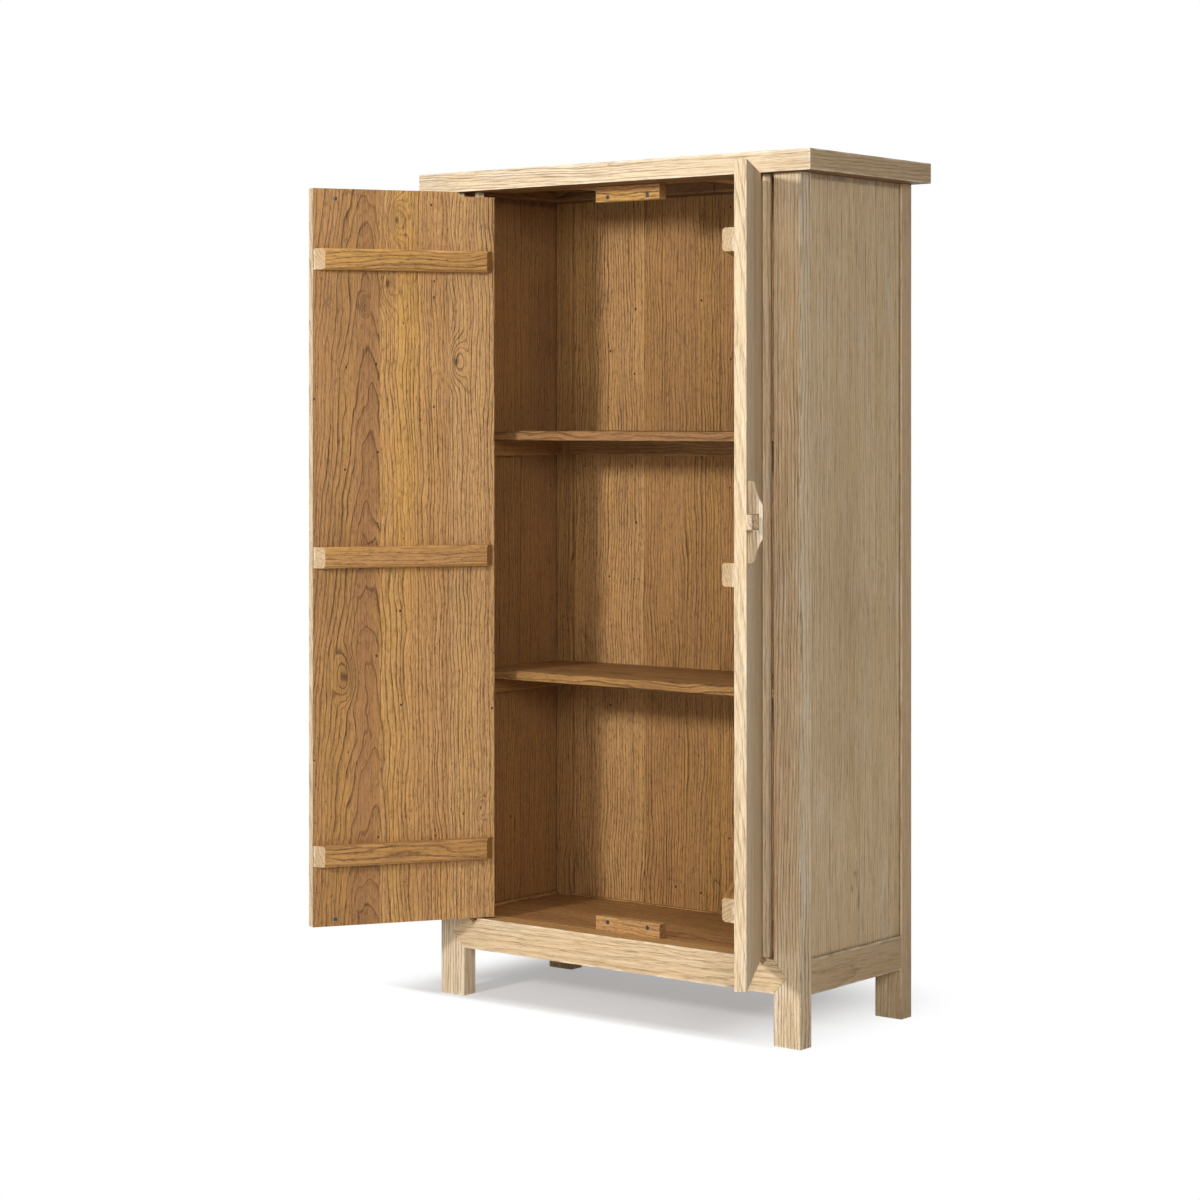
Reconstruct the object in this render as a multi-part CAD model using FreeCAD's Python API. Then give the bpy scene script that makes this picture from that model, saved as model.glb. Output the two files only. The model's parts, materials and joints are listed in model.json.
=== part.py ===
import FreeCAD, Part
import math
import os

# Two-door wooden storage cabinet, all sizes in millimetres.
# It is drawn about the middle of its four feet: +X is the right-hand side of the cabinet,
# -Y its front and +Z up. The doors are drawn closed and then turned open. Every piece is
# then moved back together, so that the origin is on the floor below the middle of the
# room that the cabinet takes up with its doors open.

# Distance from the origin back to the middle of the feet
ORIGIN_TO_FEET = 158.0

# Carcass
OVERALL_HEIGHT = 1800.0
BODY_WIDTH = 956.0
BODY_DEPTH = 416.0
POST_WIDTH = 67.0
POST_DEPTH = 40.0
LEG_HEIGHT = 105.0
FRONT_RAIL_HEIGHT = 69.0
FRONT_RAIL_DEPTH = 50.0
BACK_RAIL_HEIGHT = 69.0
SIDE_RAIL_HEIGHT = 72.0
SIDE_RAIL_THICKNESS = 30.0
EDGE_EASING = 1.5

# Top
TOP_THICKNESS = 43.0
TOP_SIDE_OVERHANG = 41.0
TOP_FRONT_OVERHANG = 27.0
TOP_BACK_OVERHANG = 11.0
TOP_MEMBER_WIDTH = 104.0
TOP_PANEL_THICKNESS = 20.0
TOP_PANEL_TONGUE_DROP = 10.0
TOP_PANEL_TONGUE_THICKNESS = 8.0
TOP_BATTEN_WIDTH = 50.0
TOP_BATTEN_HEIGHT = 18.0
BATTEN_SPACING_SHARE = 0.362

# Joints between fixed pieces
FIT_CLEARANCE = 0.2
TONGUE_DEPTH = 8.0
POINTED_SHOULDER_LENGTH = 32.0
POINTED_SHOULDER_DEPTH = 10.0
RAIL_TENON_THICKNESS = 14.0
RAIL_TENON_SET_BACK = 13.0
RAIL_TENON_SHOULDER = 12.0
RAIL_TENON_WALL = 5.0
SIDE_TENON_THICKNESS = 14.0
SIDE_TENON_SET_BACK = 8.0
SIDE_TENON_LENGTH = 25.0
POST_TENON_WIDTH = 30.0
POST_TENON_DEPTH = 20.0
POST_TENON_LENGTH = 26.0
POST_TENON_SHOULDER = 12.0

# Panels, floor and shelves
SIDE_PANEL_THICKNESS = 18.0
SIDE_PANEL_RECESS = 5.0
BACK_BOARD_COUNT = 4
BACK_BOARD_THICKNESS = 10.0
BACK_BOARD_RECESS = 18.0
BACK_BOARD_LAP = 8.0
BACK_BOARD_GAP = 0.4
FLOOR_THICKNESS = 16.0
FLOOR_DROP = 3.0
FLOOR_TONGUE = 5.0
FLOOR_BATTEN_WIDTH = 40.0
FLOOR_BATTEN_HEIGHT = 25.0
SHELF_THICKNESS = 21.0
LOWER_SHELF_SHARE = 0.3386
UPPER_SHELF_SHARE = 0.6715
SHELF_SET_BACK = 96.0
SHELF_SIDE_GAP = 1.0
SHELF_BACK_GAP = 0.5
CLEAT_HEIGHT = 35.0
CLEAT_THICKNESS = 20.0
CLEAT_SET_BACK = 8.0

# Doors
LEFT_DOOR_REST_ANGLE = 122.5
RIGHT_DOOR_REST_ANGLE = 120.3
DOOR_THICKNESS = 24.0
DOOR_TOP_GAP = 2.0
DOOR_BOTTOM_GAP = 3.0
DOOR_HINGE_GAP = 2.0
DOOR_MEETING_GAP = 2.0
FREE_EDGE_BEVEL = 2.5
HINGE_BOARD_SHARE = 0.25
MIDDLE_BOARD_SHARE = 0.3824
LIFT_NOTCH_LENGTH = 71.0
LIFT_NOTCH_SLOPE = 13.0
LIFT_NOTCH_DEPTH = 10.0
DOOR_BATTEN_HEIGHT = 46.0
DOOR_BATTEN_THICKNESS = 25.0
DOOR_BATTEN_END_BEVEL = 20.0
DOOR_BATTEN_CHAMFER = 5.0
DOOR_BATTEN_FREE_INSET = 1.0
DOOR_BATTEN_HINGE_INSET = 4.0
DOOR_BATTEN_SPACING_SHARE = 0.4037

# Pivots: a round-nosed bar stands on each door's outer face beside its hinge edge
PIVOT_FROM_POST = 27.0
PIVOT_FROM_FRONT = 19.0
PIVOT_BAR_WIDTH = 18.0
PIVOT_BAR_END_GAP = 1.0
PIVOT_TIP_DEPTH = 12.0
PIVOT_TIP_RADIUS = 2.0
PIVOT_PIN_RADIUS = 8.0
PIVOT_PIN_LENGTH = 24.0
PIVOT_LIFT_ROOM = 12.0
PIVOT_CLEARANCE = 0.08
SOCKET_MOUTH_WIDTH = 25.0
SOCKET_MOUTH_DEPTH = 13.0

# Stop blocks with their magnets, and the strike discs in the doors
BLOCK_LENGTH = 170.0
BLOCK_DEPTH = 23.0
TOP_BLOCK_HEIGHT = 33.5
BOTTOM_BLOCK_HEIGHT = 32.0
BLOCK_STOP_GAP = 0.3
MAGNET_RADIUS = 4.5
MAGNET_LENGTH = 8.0
MAGNET_FROM_MIDDLE = 53.0
TOP_MAGNET_FROM_BLOCK_END = 10.0
BOTTOM_MAGNET_FROM_BLOCK_END = 11.0
STRIKE_THICKNESS = 3.0
SCREW_SHANK_RADIUS = 2.0
SCREW_HEAD_RADIUS = 4.0
SCREW_HEAD_HEIGHT = 3.0
SCREW_HEAD_DEPTH = 6.0
SCREW_BITE = 14.0

# Pulls and the sliding latch bolt
PULL_HEIGHT = 158.0
PULL_STRAIGHT_HEIGHT = 64.0
PULL_WAIST_HEIGHT = 112.0
PULL_PROJECTION = 29.0
PULL_WAIST_PROJECTION = 17.4
PULL_TIP_PROJECTION = 14.0
PULL_TIP_RADIUS = 9.0
PULL_WIDTH = 24.0
PULL_EDGE_INSET = 22.0
PULL_EDGE_EASING = 1.5
PULL_CENTRE_SHARE = 0.5637
PULL_HOLLOW_SHARE = 0.125
BOLT_HEIGHT = 29.0
BOLT_TONGUE_THICKNESS = 11.2
BOLT_LUG_THICKNESS = 9.6
BOLT_CLEARANCE = 0.4
BOLT_REST_REACH = 16.0
BOLT_LOCK_TRAVEL = 24.0
BOLT_TAIL_LENGTH = 14.0
BOLT_TAIL_HEIGHT = 40.0
BOLT_LUG_SET_BACK = 6.0

# Planes and levels worked out from the sizes above
POST_HEIGHT = OVERALL_HEIGHT - TOP_THICKNESS
FRONT_Y = -BODY_DEPTH / 2
BACK_Y = BODY_DEPTH / 2
SIDE_X = BODY_WIDTH / 2
POST_INNER_X = SIDE_X - POST_WIDTH
POST_INNER_Y = BACK_Y - POST_DEPTH
FRONT_RAIL_TOP = LEG_HEIGHT + FRONT_RAIL_HEIGHT
BACK_RAIL_TOP = LEG_HEIGHT + BACK_RAIL_HEIGHT
SIDE_RAIL_TOP = LEG_HEIGHT + SIDE_RAIL_HEIGHT
FRONT_RAIL_BACK_Y = FRONT_Y + FRONT_RAIL_DEPTH
SIDE_RAIL_INNER_X = SIDE_X - SIDE_RAIL_THICKNESS
SIDE_PANEL_OUTER_X = SIDE_X - SIDE_PANEL_RECESS
SIDE_PANEL_INNER_X = SIDE_PANEL_OUTER_X - SIDE_PANEL_THICKNESS
BACK_BOARD_OUTER_Y = BACK_Y - BACK_BOARD_RECESS
BACK_BOARD_INNER_Y = BACK_BOARD_OUTER_Y - BACK_BOARD_THICKNESS
FLOOR_TOP = FRONT_RAIL_TOP - FLOOR_DROP
FLOOR_BOTTOM = FLOOR_TOP - FLOOR_THICKNESS
LOWER_SHELF_HEIGHT = FLOOR_TOP + (POST_HEIGHT - FLOOR_TOP) * LOWER_SHELF_SHARE
UPPER_SHELF_HEIGHT = FLOOR_TOP + (POST_HEIGHT - FLOOR_TOP) * UPPER_SHELF_SHARE
BATTEN_SPACING = BODY_WIDTH * BATTEN_SPACING_SHARE
TOP_X = SIDE_X + TOP_SIDE_OVERHANG
TOP_FRONT_Y = FRONT_Y - TOP_FRONT_OVERHANG
TOP_BACK_Y = BACK_Y + TOP_BACK_OVERHANG
TOP_INNER_X = TOP_X - TOP_MEMBER_WIDTH
TOP_INNER_FRONT_Y = TOP_FRONT_Y + TOP_MEMBER_WIDTH
TOP_INNER_BACK_Y = TOP_BACK_Y - TOP_MEMBER_WIDTH
PIVOT_X = POST_INNER_X - PIVOT_FROM_POST
PIVOT_Y = FRONT_Y + PIVOT_FROM_FRONT
PIVOT_BAR_RADIUS = PIVOT_BAR_WIDTH / 2
DOOR_BOTTOM = FRONT_RAIL_TOP + DOOR_BOTTOM_GAP
DOOR_TOP = POST_HEIGHT - DOOR_TOP_GAP
DOOR_MIDDLE = (DOOR_BOTTOM + DOOR_TOP) / 2
DOOR_BATTEN_SPACING = (DOOR_TOP - DOOR_BOTTOM) * DOOR_BATTEN_SPACING_SHARE
PULL_CENTRE_HEIGHT = DOOR_BOTTOM + (DOOR_TOP - DOOR_BOTTOM) * PULL_CENTRE_SHARE
# Distances on a closed door: along it from the pivot axis to the free edge, and inward
# from the pivot axis towards the back of the cabinet
HINGE_EDGE = -(PIVOT_FROM_POST - DOOR_HINGE_GAP)
FREE_EDGE = PIVOT_X - DOOR_MEETING_GAP / 2
HINGE_BOARD_WIDTH = (FREE_EDGE - HINGE_EDGE) * HINGE_BOARD_SHARE
MIDDLE_BOARD_WIDTH = (FREE_EDGE - HINGE_EDGE) * MIDDLE_BOARD_SHARE
OUTER_FACE = PIVOT_BAR_RADIUS
INNER_FACE = OUTER_FACE + DOOR_THICKNESS
BLOCK_FRONT_Y = PIVOT_Y + INNER_FACE + BLOCK_STOP_GAP
TOP_BLOCK_BOTTOM = POST_HEIGHT - TOP_BLOCK_HEIGHT
BOTTOM_BLOCK_TOP = FLOOR_TOP + BOTTOM_BLOCK_HEIGHT
TOP_MAGNET_Z = TOP_BLOCK_BOTTOM + TOP_MAGNET_FROM_BLOCK_END
BOTTOM_MAGNET_Z = BOTTOM_BLOCK_TOP - BOTTOM_MAGNET_FROM_BLOCK_END
PULL_NEAR_SIDE = FREE_EDGE - PULL_EDGE_INSET
PULL_FAR_SIDE = PULL_NEAR_SIDE - PULL_WIDTH
BOLT_THICKNESS = BOLT_TONGUE_THICKNESS + BOLT_LUG_THICKNESS
SLOT_HEIGHT = BOLT_HEIGHT + 2 * BOLT_CLEARANCE
SLOT_DEPTH = BOLT_THICKNESS + 2 * BOLT_CLEARANCE
UP = FreeCAD.Vector(0, 0, 1)
# An edge counts as parallel to a direction if it strays less than this share of its length
STRAY_SHARE = 0.01


def span(a, b):
    """The two values in rising order."""
    return (min(a, b), max(a, b))


def grown(values, amount):
    """A span made longer by the same amount at both ends."""
    return (values[0] - amount, values[1] + amount)


def block(x, y, z):
    """A box from three spans."""
    corner = FreeCAD.Vector(x[0], y[0], z[0])
    return Part.makeBox(x[1] - x[0], y[1] - y[0], z[1] - z[0], corner)


def eased(shape, direction, size=EDGE_EASING):
    """The shape with its straight edges along one direction chamfered."""
    edges = []
    for edge in shape.Edges:
        start, end = edge.Vertexes[0].Point, edge.Vertexes[-1].Point
        run = end - start
        if run.Length > 0 and run.cross(direction).Length < STRAY_SHARE * run.Length:
            edges.append(edge)
    return shape.makeChamfer(size, edges)


def plate(points, thickness):
    """A flat outline of 3-D points pushed along a thickness vector."""
    corners = [FreeCAD.Vector(*point) for point in points]
    wire = Part.makePolygon(corners + corners[:1])
    return Part.Face(wire).extrude(thickness)


def save(name, *solids):
    """Write one node, a single solid or a group of like solids."""
    shape = solids[0] if len(solids) == 1 else Part.makeCompound(list(solids))
    shape.translate(FreeCAD.Vector(0, ORIGIN_TO_FEET, 0))
    shape.exportStep(os.path.join("parts", name + ".step"))


# Posts and bottom rails

def front_rail_tenon(side, sy, rail_height):
    """Spans of the tenon that a front or back rail pushes into a post."""
    length = POST_WIDTH - SIDE_TENON_SET_BACK - SIDE_TENON_THICKNESS - RAIL_TENON_WALL
    x = span(side * POST_INNER_X, side * (POST_INNER_X + length))
    outer = sy * (BODY_DEPTH / 2 - RAIL_TENON_SET_BACK)
    y = span(outer, outer - sy * RAIL_TENON_THICKNESS)
    z = (LEG_HEIGHT + RAIL_TENON_SHOULDER, LEG_HEIGHT + rail_height - RAIL_TENON_SHOULDER)
    return x, y, z


def side_rail_tenon(side, sy):
    """Spans of the tenon that a side rail pushes into a post."""
    outer = side * (SIDE_X - SIDE_TENON_SET_BACK)
    x = span(outer, outer - side * SIDE_TENON_THICKNESS)
    y = span(sy * POST_INNER_Y, sy * (POST_INNER_Y + SIDE_TENON_LENGTH))
    z = (LEG_HEIGHT + RAIL_TENON_SHOULDER, SIDE_RAIL_TOP - RAIL_TENON_SHOULDER)
    return x, y, z


def post_tenon(side, sy):
    """Spans of the tenon on top of a post, set towards the inside of the frame."""
    inner = side * (POST_INNER_X + POST_TENON_SHOULDER)
    x = span(inner, inner + side * POST_TENON_WIDTH)
    middle = sy * (BODY_DEPTH - POST_DEPTH) / 2
    y = (middle - POST_TENON_DEPTH / 2, middle + POST_TENON_DEPTH / 2)
    return x, y, (POST_HEIGHT, POST_HEIGHT + POST_TENON_LENGTH)


def pointed_shoulder(side):
    """The pointed end that the front rail lays into a front post's face."""
    inner = side * POST_INNER_X
    middle = LEG_HEIGHT + FRONT_RAIL_HEIGHT / 2
    points = [(inner, FRONT_Y, LEG_HEIGHT),
              (inner + side * POINTED_SHOULDER_LENGTH, FRONT_Y, middle),
              (inner, FRONT_Y, FRONT_RAIL_TOP)]
    return plate(points, FreeCAD.Vector(0, POINTED_SHOULDER_DEPTH, 0))


def side_panel_spans(side):
    """Spans of a side panel with its tongues."""
    x = span(side * SIDE_PANEL_OUTER_X, side * SIDE_PANEL_INNER_X)
    reach = POST_INNER_Y + TONGUE_DEPTH
    return x, (-reach, reach), (SIDE_RAIL_TOP - TONGUE_DEPTH, POST_HEIGHT - FIT_CLEARANCE)


def back_boards_spans():
    """Spans that the back boards fill together, tongues included."""
    reach = POST_INNER_X + TONGUE_DEPTH
    y = (BACK_BOARD_INNER_Y, BACK_BOARD_OUTER_Y)
    return (-reach, reach), y, (BACK_RAIL_TOP - TONGUE_DEPTH, POST_HEIGHT - FIT_CLEARANCE)


def socket(spans):
    """The hole for a tenon or tongue: its spans with the fit clearance all round."""
    return block(*[grown(values, FIT_CLEARANCE) for values in spans])


def post_spans(side, sy):
    """Spans of a post below its top tenon."""
    x = span(side * POST_INNER_X, side * SIDE_X)
    y = span(sy * POST_INNER_Y, sy * BODY_DEPTH / 2)
    return x, y, (0.0, POST_HEIGHT)


def make_post(side, sy):
    """A corner post that runs down into a leg and up into the top."""
    post = eased(block(*post_spans(side, sy)), UP)
    post = post.fuse(block(*post_tenon(side, sy)))
    rail_height = FRONT_RAIL_HEIGHT if sy < 0 else BACK_RAIL_HEIGHT
    post = post.cut(socket(front_rail_tenon(side, sy, rail_height)))
    post = post.cut(socket(side_rail_tenon(side, sy)))
    post = post.cut(socket(side_panel_spans(side)))
    if sy > 0:
        return post.cut(socket(back_boards_spans()))
    return post.cut(pointed_shoulder(side))


def make_posts():
    for sy, place in ((-1, "front"), (1, "back")):
        for side, hand in ((-1, "left"), (1, "right")):
            save("post_%s_%s" % (place, hand), make_post(side, sy))


def floor_spans():
    """Spans of the floor panel with its tongues."""
    reach = SIDE_RAIL_INNER_X + FLOOR_TONGUE
    y = (FRONT_RAIL_BACK_Y - FLOOR_TONGUE, POST_INNER_Y + FLOOR_TONGUE)
    return (-reach, reach), y, (FLOOR_BOTTOM, FLOOR_TOP)


def pivot_tip_radius_at(height):
    """Radius of the pivot tip at a height, widening up to the bar's own width."""
    tip_bottom = FRONT_RAIL_TOP - PIVOT_TIP_DEPTH
    tip_top = FRONT_RAIL_TOP + PIVOT_BAR_END_GAP
    share = (height - tip_bottom) / (tip_top - tip_bottom)
    return PIVOT_TIP_RADIUS + share * (PIVOT_BAR_RADIUS - PIVOT_TIP_RADIUS)


def pivot_socket(side):
    """The pivot's conical seat in the front rail and its open mouth to the front."""
    x = side * PIVOT_X
    bottom = FRONT_RAIL_TOP - PIVOT_TIP_DEPTH - PIVOT_CLEARANCE
    top = FRONT_RAIL_TOP + PIVOT_BAR_END_GAP
    seat = Part.makeCone(pivot_tip_radius_at(bottom) + PIVOT_CLEARANCE,
                         pivot_tip_radius_at(top) + PIVOT_CLEARANCE,
                         top - bottom, FreeCAD.Vector(x, PIVOT_Y, bottom), UP)
    half = SOCKET_MOUTH_WIDTH / 2
    points = [(x - half, FRONT_Y, FRONT_RAIL_TOP),
              (x, FRONT_Y, FRONT_RAIL_TOP - SOCKET_MOUTH_DEPTH),
              (x + half, FRONT_Y, FRONT_RAIL_TOP)]
    return seat.fuse(plate(points, FreeCAD.Vector(0, PIVOT_FROM_FRONT, 0)))


def make_front_rail():
    x = (-POST_INNER_X, POST_INNER_X)
    rail = block(x, (FRONT_Y, FRONT_RAIL_BACK_Y), (LEG_HEIGHT, FRONT_RAIL_TOP))
    for side in (-1, 1):
        rail = rail.fuse(pointed_shoulder(side))
        rail = rail.fuse(block(*front_rail_tenon(side, -1, FRONT_RAIL_HEIGHT)))
        rail = rail.cut(pivot_socket(side))
    save("front_bottom_rail", rail.cut(socket(floor_spans())).removeSplitter())


def make_back_rail():
    x = (-POST_INNER_X, POST_INNER_X)
    rail = block(x, (POST_INNER_Y, BACK_Y), (LEG_HEIGHT, BACK_RAIL_TOP))
    for side in (-1, 1):
        rail = rail.fuse(block(*front_rail_tenon(side, 1, BACK_RAIL_HEIGHT)))
    rail = rail.cut(socket(back_boards_spans()))
    save("back_bottom_rail", rail.cut(socket(floor_spans())).removeSplitter())


def make_side_rails():
    for side, hand in ((-1, "left"), (1, "right")):
        x = span(side * SIDE_RAIL_INNER_X, side * SIDE_X)
        rail = block(x, (-POST_INNER_Y, POST_INNER_Y), (LEG_HEIGHT, SIDE_RAIL_TOP))
        for sy in (-1, 1):
            rail = rail.fuse(block(*side_rail_tenon(side, sy)))
        rail = rail.cut(socket(side_panel_spans(side)))
        save("%s_bottom_rail" % hand, rail.cut(socket(floor_spans())).removeSplitter())


# Panels, floor and shelves

def post_corners(margin):
    """The four posts as plain boxes with a margin, to notch what passes between them."""
    corners = []
    for side in (-1, 1):
        for sy in (-1, 1):
            x, y, z = post_spans(side, sy)
            corners.append(block(grown(x, margin), grown(y, margin), z))
    return corners


def make_side_panels():
    for side, hand in ((-1, "left"), (1, "right")):
        save("%s_side_panel" % hand, block(*side_panel_spans(side)))


def make_back_boards():
    x, y, z = back_boards_spans()
    width = (x[1] - x[0]) / BACK_BOARD_COUNT
    middle = (y[0] + y[1]) / 2
    for index in range(BACK_BOARD_COUNT):
        left = x[0] + index * width
        right = left + width
        last = index == BACK_BOARD_COUNT - 1
        inner_right = right if last else right - BACK_BOARD_GAP
        outer_left = left if index == 0 else left + BACK_BOARD_LAP
        outer_right = right if last else right + BACK_BOARD_LAP - BACK_BOARD_GAP
        inner_half = block((left, inner_right), (y[0], middle), z)
        outer_half = block((outer_left, outer_right), (middle, y[1]), z)
        save("back_board_%d" % (index + 1), inner_half.fuse(outer_half).removeSplitter())


def make_floor():
    floor = block(*floor_spans()).cut(block_screw(-1))
    save("floor_panel", floor.cut(Part.makeCompound(post_corners(FIT_CLEARANCE))))
    y = (FRONT_RAIL_BACK_Y + FIT_CLEARANCE, POST_INNER_Y - FIT_CLEARANCE)
    z = (FLOOR_BOTTOM - FLOOR_BATTEN_HEIGHT, FLOOR_BOTTOM)
    for side, hand in ((-1, "left"), (1, "right")):
        middle = side * BATTEN_SPACING / 2
        x = (middle - FLOOR_BATTEN_WIDTH / 2, middle + FLOOR_BATTEN_WIDTH / 2)
        save("floor_batten_%s" % hand, block(x, y, z))


def make_shelf(name, top):
    """A shelf board on two side cleats and one back cleat."""
    front = FRONT_Y + SHELF_SET_BACK
    reach = SIDE_PANEL_INNER_X - SHELF_SIDE_GAP
    y = (front, BACK_BOARD_INNER_Y - SHELF_BACK_GAP)
    shelf = eased(block((-reach, reach), y, (top - SHELF_THICKNESS, top)), FreeCAD.Vector(1, 0, 0))
    save("%s_shelf" % name, shelf.cut(Part.makeCompound(post_corners(SHELF_SIDE_GAP))))
    z = (top - SHELF_THICKNESS - CLEAT_HEIGHT, top - SHELF_THICKNESS)
    for side, hand in ((-1, "left"), (1, "right")):
        x = span(side * (SIDE_PANEL_INNER_X - CLEAT_THICKNESS), side * SIDE_PANEL_INNER_X)
        cleat = block(x, (front + CLEAT_SET_BACK, POST_INNER_Y - FIT_CLEARANCE), z)
        save("%s_shelf_%s_cleat" % (name, hand), cleat)
    y = (BACK_BOARD_INNER_Y - CLEAT_THICKNESS, BACK_BOARD_INNER_Y)
    reach = POST_INNER_X - FIT_CLEARANCE
    save("%s_shelf_back_cleat" % name, block((-reach, reach), y, z))


# Mitred top

def top_panel_tongue():
    """Spans of the top panel's tongue."""
    reach = TOP_INNER_X + TONGUE_DEPTH
    y = (TOP_INNER_FRONT_Y - TONGUE_DEPTH, TOP_INNER_BACK_Y + TONGUE_DEPTH)
    top = OVERALL_HEIGHT - TOP_PANEL_TONGUE_DROP
    return (-reach, reach), y, (top - TOP_PANEL_TONGUE_THICKNESS, top)


def top_member(outer, inner):
    """One mitred member from its two outer and two inner corners seen from above."""
    points = [(x, y, POST_HEIGHT) for x, y in outer + inner]
    return plate(points, FreeCAD.Vector(0, 0, TOP_THICKNESS)).cut(socket(top_panel_tongue()))


def pivot_pin_hole(side):
    """The hole above a pivot bar, deep enough to lift the door out."""
    start = FreeCAD.Vector(side * PIVOT_X, PIVOT_Y, POST_HEIGHT)
    depth = PIVOT_PIN_LENGTH + PIVOT_LIFT_ROOM
    return Part.makeCylinder(PIVOT_PIN_RADIUS + PIVOT_CLEARANCE, depth, start, UP)


def make_top():
    outer = {}
    inner = {}
    for sx in (-1, 1):
        for sy, outer_y, inner_y in ((-1, TOP_FRONT_Y, TOP_INNER_FRONT_Y), (1, TOP_BACK_Y, TOP_INNER_BACK_Y)):
            outer[sx, sy] = (sx * TOP_X, outer_y)
            inner[sx, sy] = (sx * TOP_INNER_X, inner_y)
    for sy, place in ((-1, "front"), (1, "back")):
        member = top_member([outer[-1, sy], outer[1, sy]], [inner[1, sy], inner[-1, sy]])
        for side in (-1, 1):
            member = member.cut(socket(post_tenon(side, sy)))
            if sy < 0:
                member = member.cut(pivot_pin_hole(side))
        if sy < 0:
            member = member.cut(block_screw(1))
        save("top_%s_member" % place, member)
    for sx, hand in ((-1, "left"), (1, "right")):
        member = top_member([outer[sx, -1], outer[sx, 1]], [inner[sx, 1], inner[sx, -1]])
        save("top_%s_member" % hand, member)
    field = grown((-TOP_INNER_X, TOP_INNER_X), -FIT_CLEARANCE)
    field_y = grown((TOP_INNER_FRONT_Y, TOP_INNER_BACK_Y), -FIT_CLEARANCE)
    panel_bottom = OVERALL_HEIGHT - TOP_PANEL_THICKNESS
    panel = block(field, field_y, (panel_bottom, OVERALL_HEIGHT))
    save("top_panel", panel.fuse(block(*top_panel_tongue())))
    for side, hand in ((-1, "left"), (1, "right")):
        middle = side * BATTEN_SPACING / 2
        x = (middle - TOP_BATTEN_WIDTH / 2, middle + TOP_BATTEN_WIDTH / 2)
        save("top_batten_%s" % hand, block(x, field_y, (panel_bottom - TOP_BATTEN_HEIGHT, panel_bottom)))


# Stop blocks

def magnet(x, z):
    """A round magnet let into a block's front face."""
    start = FreeCAD.Vector(x, BLOCK_FRONT_Y, z)
    return Part.makeCylinder(MAGNET_RADIUS, MAGNET_LENGTH, start, FreeCAD.Vector(0, 1, 0))


def block_screw(end):
    """The sunk screw that holds a block: end is 1 for the top block and -1 for the bottom one."""
    y = BLOCK_FRONT_Y + BLOCK_DEPTH / 2
    face = TOP_BLOCK_BOTTOM if end > 0 else BOTTOM_BLOCK_TOP
    height = TOP_BLOCK_HEIGHT if end > 0 else BOTTOM_BLOCK_HEIGHT
    seat = face + end * SCREW_HEAD_DEPTH
    way = FreeCAD.Vector(0, 0, end)
    head = Part.makeCylinder(SCREW_HEAD_RADIUS, SCREW_HEAD_HEIGHT, FreeCAD.Vector(0, y, seat), way)
    length = height - SCREW_HEAD_DEPTH + SCREW_BITE
    shank = Part.makeCylinder(SCREW_SHANK_RADIUS, length, FreeCAD.Vector(0, y, seat), way)
    return head.fuse(shank)


def screw_recess(end):
    """The open hole below a sunk screw's head."""
    y = BLOCK_FRONT_Y + BLOCK_DEPTH / 2
    face = TOP_BLOCK_BOTTOM if end > 0 else BOTTOM_BLOCK_TOP
    way = FreeCAD.Vector(0, 0, end)
    return Part.makeCylinder(SCREW_HEAD_RADIUS, SCREW_HEAD_DEPTH, FreeCAD.Vector(0, y, face), way)


def make_stop_blocks():
    x = (-BLOCK_LENGTH / 2, BLOCK_LENGTH / 2)
    y = (BLOCK_FRONT_Y, BLOCK_FRONT_Y + BLOCK_DEPTH)
    places = (("top", 1, (TOP_BLOCK_BOTTOM, POST_HEIGHT), TOP_MAGNET_Z),
              ("bottom", -1, (FLOOR_TOP, BOTTOM_BLOCK_TOP), BOTTOM_MAGNET_Z))
    for place, end, z, magnet_z in places:
        magnets = [magnet(side * MAGNET_FROM_MIDDLE, magnet_z) for side in (-1, 1)]
        body = eased(block(x, y, z), FreeCAD.Vector(1, 0, 0))
        body = body.cut(Part.makeCompound(magnets + [screw_recess(end)])).cut(block_screw(end))
        save("%s_stop_block" % place, body)
        save("%s_block_magnets" % place, *magnets)
    save("stop_block_screws", block_screw(1), block_screw(-1))


# Doors

class Door:
    """One door, drawn closed and turned about its pivot axis to its rest angle."""

    def __init__(self, side, name, angle):
        self.side = side
        self.name = name
        self.axis = FreeCAD.Vector(side * PIVOT_X, PIVOT_Y, 0)
        self.angle = side * angle

    def x(self, along):
        return self.side * (PIVOT_X - along)

    def block(self, along, inward, z):
        """A box from distances along the door, inward from the pivot axis, and up."""
        x = span(self.x(along[0]), self.x(along[1]))
        return block(x, (PIVOT_Y + inward[0], PIVOT_Y + inward[1]), z)

    def outline(self, points, fixed, reach):
        """An outline of (inward, height) points at one place along the door, pushed along it."""
        corners = [(self.x(fixed), PIVOT_Y + inward, z) for inward, z in points]
        return plate(corners, FreeCAD.Vector(-self.side * reach, 0, 0))

    def plan(self, points, z):
        """An outline of (along, inward) points pushed up through a span of heights."""
        corners = [(self.x(along), PIVOT_Y + inward, z[0]) for along, inward in points]
        return plate(corners, FreeCAD.Vector(0, 0, z[1] - z[0]))

    def face(self, points, inward):
        """An outline of (along, height) points pushed inward through a span."""
        corners = [(self.x(along), PIVOT_Y + inward[0], z) for along, z in points]
        return plate(corners, FreeCAD.Vector(0, inward[1] - inward[0], 0))

    def save(self, piece, *solids):
        for solid in solids:
            solid.rotate(self.axis, UP, self.angle)
        save("%s_%s" % (self.name, piece), *solids)


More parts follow.
